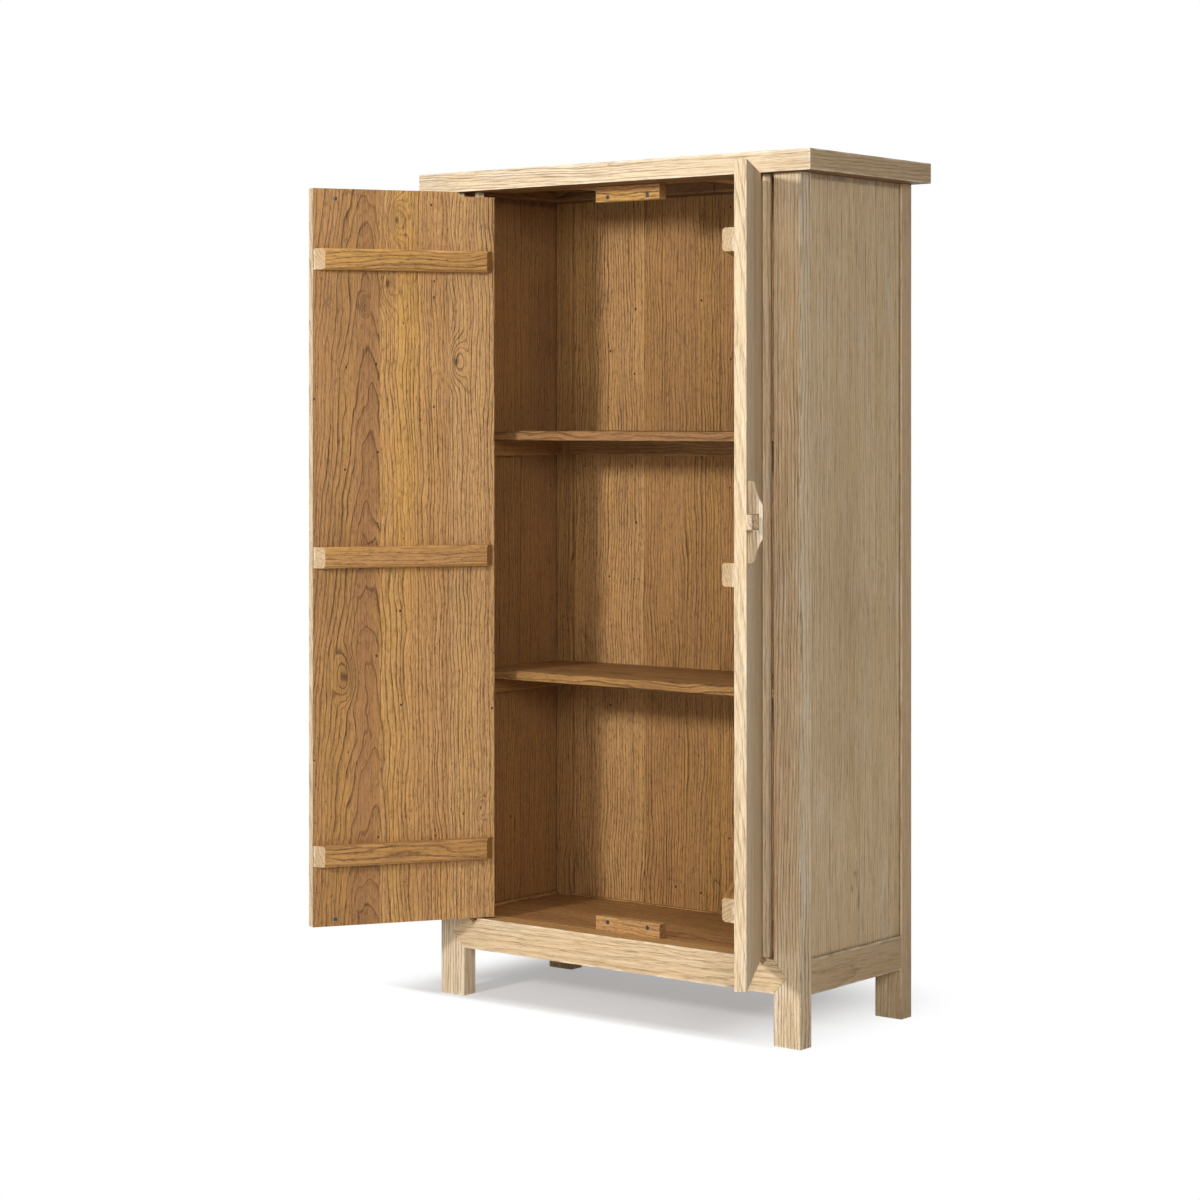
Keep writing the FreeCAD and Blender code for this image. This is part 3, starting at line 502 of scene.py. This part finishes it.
class Board:
    """A board's own coordinates and kept values in a wood material."""

    def __init__(self, graph, look):
        self.graph = graph
        self.parts = split(graph, attribute(graph, "place", "Vector"))
        pith, self.depth, self.taper = split(graph, attribute(graph, "figure", "Vector"))
        # The third trait is the strength of the painted shade along the edges.
        seed, self.wear, self.grime = split(graph, attribute(graph, "traits", "Vector"))
        self.tone = attribute(graph, look.tone_name, "Fac")
        self.line_strength = attribute(graph, "line_strength", "Fac")
        self.across = self.parts[0] - pith
        self.shift = seed * SEED_SHIFT

    def stretched(self, across, along, detail, roughness):
        """Noise of so many counts per metre across and along the grain."""
        x, y, z = self.parts
        place = join(self.graph, x * across + self.shift, y * across, z * along + self.shift)
        return clouds(self.graph, place, detail, roughness)

    def grain(self, name):
        """One of the named noises."""
        return self.stretched(*GRAIN[name])

    def sway(self, name):
        """One of the named noises, less its middle."""
        return self.grain(name) - NOISE_MIDDLE

    def mark(self, name):
        """One of the named noises, from none to full between its limits."""
        return self.grain(name).rise(*LIMITS[name])


def edge_nearness(board, width):
    """1 on a piece's long edges and corners, fading to 0 over the width."""
    halves = split(board.graph, attribute(board.graph, "half", "Vector"))
    a, b, c = [half - abs(part) for half, part in zip(halves, board.parts)]
    second_least = a.least(b).most(a.most(b).least(c))
    return 1.0 - second_least.rise(0.0, width)


def knot_marks(board, look):
    """Nearness to the board's knots, which are longer along the grain, and the knots' dark eyes."""
    x, y, z = board.parts
    knot = 0.0
    eye = 0.0
    for name in KNOTS:
        aside, up, size = split(board.graph, attribute(board.graph, name, "Vector"))
        sideways = x - aside
        lengthways = (z - up) * KNOT_ALONG
        distance = (sideways * sideways + lengthways * lengthways).root() / size
        knot = knot + (1.0 - distance.rise(*LIMITS["knot ends"])) * look.knots
        eye = eye + (1.0 - distance.rise(*LIMITS["eye ends"])) * look.knots
    return knot, eye


def pin_marks(board, look, wood):
    """Small dark pin knots at some of the scattered points."""
    x, y, z = board.parts
    place = join(board.graph, x + board.shift, z * PIN_ALONG + board.shift, 0.0)
    distance, draw = cells(board.graph, place, wood.pins_per_metre)
    size = PIN_SIZE + draw.rise(*LIMITS["pin grows"]) * PIN_GROWTH
    nearness = 1.0 - distance.rise(size * PIN_MIDDLE, size)
    return nearness * draw.rise(*LIMITS["pin shows"]) * look.knots


def crack_marks(board):
    """Fine cracks along the grain, here and there."""
    line = 1.0 - abs(board.sway("cracks")).rise(*LIMITS["crack sides"])
    return line * board.mark("crack places") * SHARES["cracks"]


def colour_zones(board):
    """The heart near the pith, and the golden zone on one side of it."""
    wander = board.sway("zones") * ZONE_WANDER
    heart = 1.0 - (abs(board.across) + wander).rise(*LIMITS["heart ends"])
    aside = board.across + wander
    golden = aside.rise(*LIMITS["golden zone starts"]) * (1.0 - aside.rise(*LIMITS["golden zone ends"]))
    higher = board.parts[2].rise(*LIMITS["golden zone fills"])
    return heart, golden * at_least(LEAST["golden zone"], higher)


def count_rings(board, look, wood, knot):
    """How many growth rings lie between the pith and a point, fractions and all."""
    x, y, z = board.parts
    through = y + board.depth
    radius = (board.across * board.across + through * through).root() + board.taper * z
    radius = radius + board.sway("drift of the rings") * (wood.ring_wander * RING_DRIFT)
    radius = radius + board.sway("waves of the rings") * (wood.ring_wander * look.waves)
    radius = radius + board.sway("ripples of the rings") * RING_RIPPLE + knot * wood.knot_rise
    rings = radius / look.ring_width
    uneven = clouds(board.graph, join(board.graph, rings * UNEVEN_STEP, board.shift, 0.0), detail=1.0)
    return rings + uneven * UNEVEN_RINGS


def ring_lines(board, rings, heart):
    """The rings' soft lines, weaker in the heart, crisp lines, thinner in the heart, and hairlines."""
    ring = rings.fraction()
    soft = ring.rise(*LIMITS["soft line starts"]) * (1.0 - ring.rise(*LIMITS["soft line ends"]))
    soft = soft * (1.0 - heart * SOFT_WEAKER) * at_least(LEAST["soft lines"], board.mark("soft lines"))
    start, full = [limit + heart * later for limit, later in zip(CRISP_STARTS, CRISP_LATER)]
    crisp = ring.rise(start, full) * (1.0 - ring.rise(*LIMITS["crisp line ends"]))
    chosen = (board.mark("crisp lines") + heart).least(1.0)
    crisp = crisp * at_least(LEAST["crisp lines"], chosen)
    hairline = (rings * HAIRLINES_PER_RING + HAIRLINE_SHIFT).fraction().rise(*LIMITS["hairline starts"])
    return soft, crisp, hairline


def wood_marks(board, look, wood):
    """Every mark on a board by its name."""
    knot, eye = knot_marks(board, look)
    heart, golden = colour_zones(board)
    soft, crisp, hairline = ring_lines(board, count_rings(board, look, wood, knot), heart)
    fleck = board.stretched(FLECKS_PER_METRE, look.flecks_along, detail=2.0, roughness=0.7)
    pore = board.stretched(look.pores_per_metre, PORES_ALONG, detail=2.0, roughness=0.6)
    pores = pore.rise(*LIMITS["pores"]) * SHARES["pores"] + board.mark("specks") * SHARES["specks"]
    return {
        "knots": knot,
        "eyes": eye,
        "pin knots": pin_marks(board, look, wood),
        "cracks": crack_marks(board),
        "heart": heart,
        "golden zone": golden,
        "soft lines": soft,
        "crisp lines": crisp,
        "hairlines": hairline * (1.0 - soft),
        "flecks": fleck - NOISE_MIDDLE,
        "light flecks": 1.0 - fleck.rise(*LIMITS["light flecks"]),
        "dark flecks": fleck.rise(*LIMITS["dark flecks"]),
        "pores": pores * at_least(LEAST["pores"], soft),
        "bands": board.mark("bands"),
        "broad shades": board.grain("broad shades"),
        "fibres": board.sway("fibres"),
    }


def shown(marks, *names):
    """The sum of the named marks, each as strongly as it shows in the colour."""
    return weighed(marks, {name: SHARES[name] for name in names})


def ground_colour(board, look, marks):
    """The colour between the rings, with its zones and pale places."""
    graph = board.graph
    streaked = shown(marks, "bands").most(marks["golden zone"])
    colour = blend(graph, streaked, opaque(look.light), opaque(look.streak))
    colour = blend(graph, shown(marks, "heart"), colour, opaque(look.heart))
    pale = board.tone * SHARES["pale tone"] + board.mark("chalk") * look.chalk
    pale = pale + shown(marks, "light flecks") * look.stipple
    return blend(graph, pale, colour, opaque(look.worn))


def grained_colour(board, look, marks, colour):
    """The colour with its lines, flecks, streaks, shades and pores."""
    graph = board.graph
    lines = shown(marks, "soft lines", "crisp lines", "hairlines") * board.line_strength * look.contrast
    drawn = lines + marks["dark flecks"] * look.stipple + board.mark("streaks") * SHARES["streaks"]
    colour = blend(graph, drawn, colour, opaque(look.dark))
    broad = marks["broad shades"].rise(*LIMITS["broad shades"]) * SHARES["broad shades"]
    shade = broad + shown(marks, "knots") - board.tone * SHARES["dark tone"]
    colour = blend(graph, shade, colour, opaque(look.dark))
    return blend(graph, marks["pores"] * look.pores, colour, opaque(look.dark, DARKENED["pores"]))


def aged_colour(board, look, wood, marks, colour):
    """The colour with its worn edges, painted shade along its edges, and its dark spots."""
    graph = board.graph
    edge = edge_nearness(board, wood.wear_width)
    patchy = board.mark("wear")
    worn = edge * at_least(LEAST["wear"], patchy) * board.wear * look.wear
    colour = blend(graph, worn, colour, opaque(look.worn))
    # Painted shade: a dark band along the edges, for the shadow lines where a recessed panel meets its
    # frame.
    grime = edge * at_least(LEAST["grime"], patchy) * board.grime
    colour = blend(graph, grime, colour, opaque(look.dark, DARKENED["grime"]))
    spots = shown(marks, "pin knots").most(marks["cracks"]).most(shown(marks, "eyes"))
    return blend(graph, spots, colour, opaque(look.dark, DARKENED["spots"]))


def make_wood(name, look, wood):
    """Elm with growth rings that arch where a board is cut flat, pores, streaks, knots and worn edges."""
    graph = Graph(bpy.data.materials.new(name))
    board = Board(graph, look)
    marks = wood_marks(board, look, wood)
    colour = ground_colour(board, look, marks)
    colour = grained_colour(board, look, marks, colour)
    colour = aged_colour(board, look, wood, marks, colour)
    roughness = look.roughness + weighed(marks, ROUGHER)
    bump = graph.node("ShaderNodeBump", {}, {
        "Strength": WOOD_BUMP, "Distance": wood.bump_depth, "Height": weighed(marks, RELIEF)})
    shader = graph.node("ShaderNodeBsdfPrincipled", {}, {
        "Base Color": colour, "Roughness": roughness, "Normal": bump, "Specular IOR Level": WOOD_SHINE})
    graph.node("ShaderNodeOutputMaterial", {}, {"Surface": shader})


def make_steel():
    """Dull grey steel with fine turning marks and darker spots."""
    graph = Graph(bpy.data.materials.new("dull_steel"))
    x, y, z = split(graph, graph.node("ShaderNodeTexCoord", {}, {}, "Object"))
    spots = clouds(graph, join(graph, x * STEEL_SPOTS, y * STEEL_SPOTS, z * STEEL_SPOTS), detail=3.0)
    round_piece = join(graph, x * STEEL_MARKS_ROUND, y * STEEL_MARKS_ROUND, z * STEEL_MARKS_ALONG)
    marks = clouds(graph, round_piece)
    colour = blend(graph, spots.rise(*LIMITS["steel spots"]), STEEL_DARK, STEEL_LIGHT)
    bump = graph.node("ShaderNodeBump", {}, {
        "Strength": 0.4, "Distance": 0.0002, "Height": spots * 0.6 + marks * 0.4})
    shader = graph.node("ShaderNodeBsdfPrincipled", {}, {
        "Base Color": colour, "Metallic": 0.85, "Roughness": 0.3 + spots * 0.25, "Normal": bump})
    graph.node("ShaderNodeOutputMaterial", {}, {"Surface": shader})


def make_floor_material():
    """Matte white studio floor that keeps the shadow, lightened by a painted white glow beneath the cabinet
    and wiped out by it in front and to the left, and fades into the white surround.
    """
    graph = Graph(bpy.data.materials.new("studio_floor"))
    x, y, z = split(graph, graph.node("ShaderNodeTexCoord", {}, {}, "Object"))
    mottle = clouds(graph, join(graph, x * FLOOR_MOTTLE, y * FLOOR_MOTTLE, z))
    colour = blend(graph, mottle, *FLOOR_WHITES)
    matte = graph.node("ShaderNodeBsdfPrincipled", {}, {
        "Base Color": colour, "Roughness": 0.95, "Specular IOR Level": 0.0})
    white = graph.node("ShaderNodeEmission", {}, {"Color": WHITE, "Strength": 1.0})
    low, high = FOOTPRINT
    leftward = (low.x - x) * WHITER_LEFT
    rightward = x - high.x + WHITER_FROM_RIGHT
    frontward = (low.y - y) * WHITER_FRONT
    beside = leftward.most(rightward).most(0.0)
    beyond = frontward.most(y - high.y).most(0.0)
    distance = (beside * beside + beyond * beyond).root()
    # Painted light: the share of white glow mixed into the floor, at least LEAST_WHITE even in the
    # cabinet's shadow.
    painted_white_share = at_least(LEAST_WHITE, distance.rise(0.0, WHITE_REACH))
    surface = graph.node("ShaderNodeMixShader", {}, {0: seen_rays(graph) * painted_white_share, 1: matte, 2: white})
    graph.node("ShaderNodeOutputMaterial", {}, {"Surface": surface})


def material(name):
    """A material made earlier."""
    return bpy.data.materials[name]


# Pieces

def extent(points, axis):
    """Lowest and highest place of the points along an axis."""
    places = [point.dot(axis) for point in points]
    return min(places), max(places)


def softened_copy(node, softness, segments):
    """A merged copy of a CAD node's mesh with its outward edges rounded."""
    shape = bmesh.new()
    shape.from_mesh(frame["nodes"][node].data)
    bmesh.ops.remove_doubles(shape, verts=shape.verts, dist=MERGE_DISTANCE)
    bmesh.ops.dissolve_limit(shape, angle_limit=FLAT_ANGLE, verts=shape.verts, edges=shape.edges)
    sharp = [edge for edge in shape.edges if len(edge.link_faces) == 2 and edge.is_convex
             and edge.calc_face_angle() > SHARP_ANGLE]
    bmesh.ops.bevel(shape, geom=sharp, offset=softness, offset_type="OFFSET", segments=segments,
                    profile=0.5, affect="EDGES", clamp_overlap=True, material=-1)
    return shape


def cut_across(shape, axis, spacing):
    """Cut a piece across its length at even steps, so that its faces can dip a little."""
    low, high = extent([vertex.co for vertex in shape.verts], axis)
    count = int((high - low) / spacing)
    for index in range(1, count):
        geometry = list(shape.verts) + list(shape.edges) + list(shape.faces)
        point = axis * (low + (high - low) * index / count)
        bmesh.ops.bisect_plane(shape, geom=geometry, plane_co=point, plane_no=axis, dist=CUT_DISTANCE)


def dip(shape, depth, seed):
    """Let the hand-planed faces dip inward by a small uneven amount."""
    shape.normal_update()
    shift = Vector((seed, seed, seed)) * DIP_SHIFT
    for vertex in shape.verts:
        share = 0.5 + 0.5 * noise.noise(vertex.co * DIPS_PER_METRE + shift)
        vertex.co -= vertex.normal * depth * share


def add_piece(name, shape, body, materials):
    """Turn a built shape into an object that rides on a body."""
    mesh = bpy.data.meshes.new(name)
    shape.to_mesh(mesh)
    shape.free()
    for entry in materials:
        mesh.materials.append(entry)
    piece = bpy.data.objects.new(name, mesh)
    bpy.context.scene.collection.objects.link(piece)
    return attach(piece, body)


def keep_values(mesh, along, across, hidden, vectors, numbers):
    """Keep on the mesh each point's place in the board, and the board's half size, vectors and numbers."""
    axes = (across, along.cross(across), along)
    points = [vertex.co for vertex in mesh.vertices]
    spans = [extent(points, axis) for axis in axes]
    middles = [(low + high) / 2 for low, high in spans]
    halves = [(high - low) / 2 - cover for (low, high), cover in zip(spans, (hidden, 0.0, hidden))]
    places = []
    for point in points:
        places.extend(point.dot(axis) - middle for axis, middle in zip(axes, middles))
    count = len(points)
    mesh.attributes.new("place", "FLOAT_VECTOR", "POINT").data.foreach_set("vector", places)
    for name, vector in {"half": halves, **vectors}.items():
        mesh.attributes.new(name, "FLOAT_VECTOR", "POINT").data.foreach_set("vector", list(vector) * count)
    for name, value in numbers.items():
        mesh.attributes.new(name, "FLOAT", "POINT").data.foreach_set("value", [value] * count)


def random_figure(node):
    """Where a board's pith lay and how fast its rings taper, drawn from its name."""
    chance = random.Random(node)
    return [chance.uniform(*limits) for limits in FIGURE_RANGES]


def random_knots(node):
    """Places and sizes of a board's knots, drawn from its name."""
    chance = random.Random(node + " knots")
    return [[chance.uniform(*limits) for limits in KNOT_RANGES] for name in KNOTS]


def all_bleached(centre, normal):
    return BLEACHED


def all_honey(centre, normal):
    return HONEY


def inside_honey(centre, normal):
    """Honey where a face looks into the closed cabinet, and bleached elsewhere."""
    point = centre + normal * FACE_REACH
    within = all(low < place < high for low, place, high in zip(INSIDE_LOW, point, INSIDE_HIGH))
    return HONEY if within else BLEACHED


def underside_honey(centre, normal):
    """Honey underneath and inside, bleached on top and outside."""
    return HONEY if normal.z < -ABOUT else inside_honey(centre, normal)


def sill_honey(centre, normal):
    """Honey on top and inside, bleached in front."""
    return HONEY if normal.z > ABOUT else inside_honey(centre, normal)


def door_finish_with_hinge_shade(along, inward):
    """A rule that makes the door's inner face honey, its hinge edge honey as painted shade in the gap by
    the post, and the rest bleached.
    """
    def rule(centre, normal):
        # Painted shade: the hinge edge takes honey to darken the gap by the post.
        return HONEY if max(normal.dot(inward), -normal.dot(along)) > ABOUT else BLEACHED
    return rule


def post_finish_with_jamb_shade(side):
    """A rule that makes a post honey where it looks into the cabinet, and honey as painted shade where it
    looks across the opening.
    """
    def rule(centre, normal):
        # Painted shade: faces across the opening take the dark honey, for the deep shadow in the gaps by
        # the doors.
        across = normal.x * side < -SQUARELY and centre.z > INSIDE_LOW.z
        return HONEY if across else inside_honey(centre, normal)
    return rule


def batten_finish(along):
    """A rule that leaves the end grain at a batten's free end pale and the rest honey."""
    def rule(centre, normal):
        return BLEACHED if normal.dot(along) > BEVELLED else HONEY
    return rule


def make_board(node, body, along, across, finish, **choices):
    """One wooden piece: a softened copy of its CAD node with grain values and finishes.

    Choices are figure, knots, wear, the strength of the painted shade along the edges, hidden (how far its
    edges are let in), honey_tone, bleached_tone, line_strength and wavy.
    """
    edges = bpy.context.scene.cabinet_edges
    chance = random.Random(node + " traits")
    seed = chance.random()
    wear = choices.get("wear", 1.0)
    numbers = {name: choices.get(name, chance.uniform(-TONE_SPREAD, TONE_SPREAD)) for name in TONES}
    numbers["line_strength"] = choices.get("line_strength", 1.0)
    softness = edges.softness if wear > 0.0 else edges.glued_softness
    shape = softened_copy(node, softness, edges.segments)
    if choices.get("wavy", True):
        cut_across(shape, along, edges.wave_spacing)
        dip(shape, edges.waviness, seed)
    shape.normal_update()
    small_area = edges.softness * edges.wave_spacing * 2.0
    for face in shape.faces:
        face.material_index = finish(face.calc_center_median(), face.normal)
        face.smooth = face.calc_area() < small_area
    piece = add_piece(node + "_look", shape, body, [material("bleached_grain"), material("honey_grain")])
    vectors = dict(zip(KNOTS, choices.get("knots") or random_knots(node)))
    vectors["figure"] = choices.get("figure") or random_figure(node)
    vectors["traits"] = (seed, wear, choices.get("grime", 0.0))
    keep_values(piece.data, along, across, choices.get("hidden", 0.0), vectors, numbers)
    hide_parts(node)
    used = {face.material_index for face in piece.data.polygons}
    "honey_elm" if used == {HONEY} else "bleached_elm"


def make_metal(node, body):
    """One group of small metal pieces."""
    edges = bpy.context.scene.cabinet_edges
    shape = softened_copy(node, edges.metal_softness, edges.segments)
    piece = add_piece(node + "_look", shape, body, [material("dull_steel")])
    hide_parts(node)


def door_directions(hand):
    """Unit vectors along a door from its pivot to its free edge and inward through it, at rest."""
    joint = next(joint for joint in frame["joints"] if joint["name"] == hand + "_door_hinge")
    closing = max(joint["range_deg"], key=abs)
    turn = Matrix.Rotation(math.radians(-closing), 3, "Z")
    start = RIGHT if hand == "left" else -RIGHT
    return turn @ start, turn @ BACK


# Stage

def add_light(name, power, size, place, target):
    """A square soft light that looks at a target."""
    data = bpy.data.lights.new(name, "AREA")
    data.energy = power
    data.size = size
    light = bpy.data.objects.new(name, data)
    light.location = place
    light.rotation_euler = (Vector(target) - Vector(place)).to_track_quat("-Z", "Y").to_euler()
    bpy.context.scene.collection.objects.link(light)


def make_room_light(strength):
    """Even light from all round, white to the camera and in reflections."""
    world = bpy.data.worlds.new("studio")
    bpy.context.scene.world = world
    graph = Graph(world)
    room = graph.node("ShaderNodeBackground", {}, {"Color": WHITE, "Strength": strength})
    white = graph.node("ShaderNodeBackground", {}, {"Color": WHITE, "Strength": 1.0})
    surround = graph.node("ShaderNodeMixShader", {}, {0: seen_rays(graph), 1: room, 2: white})
    graph.node("ShaderNodeOutputWorld", {}, {"Surface": surround})


def make_floor(size):
    """A wide level floor."""
    shape = bmesh.new()
    bmesh.ops.create_grid(shape, x_segments=1, y_segments=1, size=size)
    mesh = bpy.data.meshes.new("studio_floor")
    shape.to_mesh(mesh)
    shape.free()
    make_floor_material()
    mesh.materials.append(material("studio_floor"))
    floor = bpy.data.objects.new("studio_floor", mesh)
    bpy.context.scene.collection.objects.link(floor)


# Operators

class CABINET_OT_materials(Operator):
    """Make the wood and metal materials"""
    bl_idname = "cabinet.materials"
    bl_label = "Materials"

    def execute(self, context):
        scene = context.scene
        make_wood("bleached_grain", scene.cabinet_bleached, scene.cabinet_wood)
        make_wood("honey_grain", scene.cabinet_honey, scene.cabinet_wood)
        make_steel()
        return {"FINISHED"}


class CABINET_OT_posts(Operator):
    """Make the four posts with their legs"""
    bl_idname = "cabinet.posts"
    bl_label = "Posts"

    def execute(self, context):
        for place, hand, side, outside, inside, strength in POSTS:
            make_board("post_%s_%s" % (place, hand), "cabinet", UP, RIGHT, post_finish_with_jamb_shade(side), wear=0.5,
                       bleached_tone=outside, honey_tone=inside, line_strength=strength,
                       figure=GOLDEN_FIGURE if place == "front" else None)
        return {"FINISHED"}


class CABINET_OT_rails(Operator):
    """Make the four bottom rails"""
    bl_idname = "cabinet.rails"
    bl_label = "Bottom rails"

    def execute(self, context):
        make_board("front_bottom_rail", "cabinet", RIGHT, UP, sill_honey,
                   bleached_tone=-0.4, line_strength=0.6)
        make_board("back_bottom_rail", "cabinet", RIGHT, UP, inside_honey)
        for hand in ("left", "right"):
            # The side rails' low bleached tone is painted shade for the cabinet's shaded right side; the
            # left rail takes the same.
            make_board(hand + "_bottom_rail", "cabinet", BACK, UP, inside_honey, bleached_tone=-1.7)
        return {"FINISHED"}


class CABINET_OT_top(Operator):
    """Make the mitred top with its panel and battens"""
    bl_idname = "cabinet.top"
    bl_label = "Top"

    def execute(self, context):
        # The top's very low honey tones, here and on the top panel, are painted shade on its underside
        # inside the cabinet.
        for place in ("front", "back"):
            make_board("top_%s_member" % place, "cabinet", RIGHT, BACK, underside_honey,
                       bleached_tone=0.8, honey_tone=-3.0)
        for hand in ("left", "right"):
            # The side members' low bleached tone is painted shade for the shaded right side face; the left
            # takes the same.
            make_board("top_%s_member" % hand, "cabinet", BACK, RIGHT, underside_honey,
                       bleached_tone=-2.0, honey_tone=-3.0)
            make_board("top_batten_" + hand, "cabinet", BACK, RIGHT, all_honey)
        make_board("top_panel", "cabinet", RIGHT, BACK, underside_honey, honey_tone=-1.8)
        return {"FINISHED"}


class CABINET_OT_panels(Operator):
    """Make the side panels, the back boards and the floor"""
    bl_idname = "cabinet.panels"
    bl_label = "Panels"

    def execute(self, context):
        for hand in ("left", "right"):
            # The side panels get painted shade along their edges, for the shadow lines where they sit
            # recessed in the frame.
            make_board(hand + "_side_panel", "cabinet", UP, BACK, inside_honey, wear=0.0, grime=0.6,
                       # Their low bleached tone is painted shade for the cabinet's shaded right side, and
                       # their honey tone is painted shade for the shadow inside by the left door.
                       hidden=0.008, bleached_tone=-0.35, honey_tone=-1.8, figure=STRAIGHT_FIGURE)
            make_board("floor_batten_" + hand, "cabinet", BACK, RIGHT, all_honey)
        for node in sorted(name for name in frame["nodes"] if name.startswith("back_board_")):
            make_board(node, "cabinet", UP, RIGHT, inside_honey, wear=0.0, figure=STRAIGHT_FIGURE,
                       honey_tone=BACK_TONES[int(node[-1]) % len(BACK_TONES)])
        make_board("floor_panel", "cabinet", RIGHT, BACK, all_honey, honey_tone=-0.4)
        return {"FINISHED"}


class CABINET_OT_shelves(Operator):
    """Make the shelves with their cleats"""
    bl_idname = "cabinet.shelves"
    bl_label = "Shelves"

    def execute(self, context):
        for name in ("lower", "upper"):
            make_board(name + "_shelf", "cabinet", RIGHT, BACK, all_honey, honey_tone=-1.7, wear=0.3)
            cleats = {"back": RIGHT, "left": BACK, "right": BACK}
            for place, along in cleats.items():
                make_board("%s_shelf_%s_cleat" % (name, place), "cabinet", along, UP, all_honey,
                           honey_tone=-1.7, figure=STRAIGHT_FIGURE, line_strength=0.6)
        return {"FINISHED"}


class CABINET_OT_stop_blocks(Operator):
    """Make the stop blocks with their magnets and screws"""
    bl_idname = "cabinet.stop_blocks"
    bl_label = "Stop blocks"

    def execute(self, context):
        for place in ("top", "bottom"):
            make_board(place + "_stop_block", "cabinet", RIGHT, UP, all_honey)
            make_metal(place + "_block_magnets", "cabinet")
        make_metal("stop_block_screws", "cabinet")
        return {"FINISHED"}


class CABINET_OT_doors(Operator):
    """Make both doors with their battens, pivot bars, pulls and strike discs"""
    bl_idname = "cabinet.doors"
    bl_label = "Doors"

    def execute(self, context):
        for hand in ("left", "right"):
            body = "door_" + hand
            along, inward = door_directions(hand)
            finish = door_finish_with_hinge_shade(along, inward)
            for board, (figure, tone, knots) in DOOR_FIGURES.items():
                outside, strength = DOOR_TONES[hand][board]
                make_board("%s_door_%s_board" % (hand, board), body, UP, along, finish,
                           figure=figure, knots=knots, wear=0.0,
                           honey_tone=tone, bleached_tone=outside, line_strength=strength)
            for batten in ("lower", "middle", "upper"):
                make_board("%s_door_%s_batten" % (hand, batten), body, along, UP, batten_finish(along),
                           honey_tone=-0.3, bleached_tone=-1.6, line_strength=0.6)
            make_board(hand + "_door_pivot_bar", body, UP, along, all_bleached, wear=0.3, bleached_tone=0.4,
                       figure=GOLDEN_FIGURE, line_strength=0.5)
            make_board(hand + "_door_pull", body, UP, inward, all_bleached, wavy=False, wear=0.3,
                       bleached_tone=0.5, figure=GOLDEN_FIGURE, line_strength=0.5)
            make_metal(hand + "_door_strike_discs", body)
        return {"FINISHED"}


class CABINET_OT_latch(Operator):
    """Make the sliding latch bolt"""
    bl_idname = "cabinet.latch"
    bl_label = "Latch bolt"

    def execute(self, context):
        along, _ = door_directions("right")
        make_board("right_door_latch_bolt", "latch", along, UP, all_bleached, wavy=False, bleached_tone=0.3)
        return {"FINISHED"}


class CABINET_OT_stage(Operator):
    """Set the camera, the lights, the floor and the white surround"""
    bl_idname = "cabinet.stage"
    bl_label = "Stage"

    def execute(self, context):
        scene = context.scene
        stage = scene.cabinet_stage
        data = bpy.data.cameras.new("photo_camera")
        data.lens = stage.lens
        data.sensor_width = SENSOR_WIDTH
        data.shift_y = stage.shift_y
        camera = bpy.data.objects.new("photo_camera", data)
        camera.location = stage.camera_place
        camera.rotation_euler = (math.radians(90.0), 0.0, stage.camera_turn)
        scene.collection.objects.link(camera)
        scene.camera = camera
        for name, (power, size, place, target) in LIGHTS.items():
            add_light(name, getattr(stage, power), size, place, target)
        make_room_light(stage.room_light)
        make_floor(stage.floor_size)
        scene.view_settings.view_transform = "Standard"
        return {"FINISHED"}


STEPS = (CABINET_OT_materials, CABINET_OT_posts, CABINET_OT_rails, CABINET_OT_top, CABINET_OT_panels,
         CABINET_OT_shelves, CABINET_OT_stop_blocks, CABINET_OT_doors, CABINET_OT_latch, CABINET_OT_stage)
SETTINGS = {"cabinet_wood": WoodSettings, "cabinet_bleached": BleachedSettings,
            "cabinet_honey": HoneySettings, "cabinet_edges": EdgeSettings, "cabinet_stage": StageSettings}


class CABINET_PT_panel(Panel):
    """Settings and steps of the cabinet"""
    bl_idname = "CABINET_PT_panel"
    bl_label = "Storage cabinet"
    bl_space_type = "VIEW_3D"
    bl_region_type = "UI"
    bl_category = "Cabinet"

    def draw(self, context):
        for name in SETTINGS:
            group = getattr(context.scene, name)
            box = self.layout.box()
            box.label(text=name.replace("cabinet_", "").capitalize())
            for field in group.__annotations__:
                box.prop(group, field)
        for step in STEPS:
            self.layout.operator(step.bl_idname)


def register():
    for name, group in SETTINGS.items():
        bpy.utils.register_class(group)
        setattr(bpy.types.Scene, name, PointerProperty(type=group))
    for step in STEPS:
        bpy.utils.register_class(step)
    bpy.utils.register_class(CABINET_PT_panel)


def unregister():
    bpy.utils.unregister_class(CABINET_PT_panel)
    for step in reversed(STEPS):
        bpy.utils.unregister_class(step)
    for name, group in SETTINGS.items():
        delattr(bpy.types.Scene, name)
        bpy.utils.unregister_class(group)


def main():
    register()
    for step in STEPS:
        group, name = step.bl_idname.split(".")
        getattr(getattr(bpy.ops, group), name)()


if __name__ == "__main__":
    main()
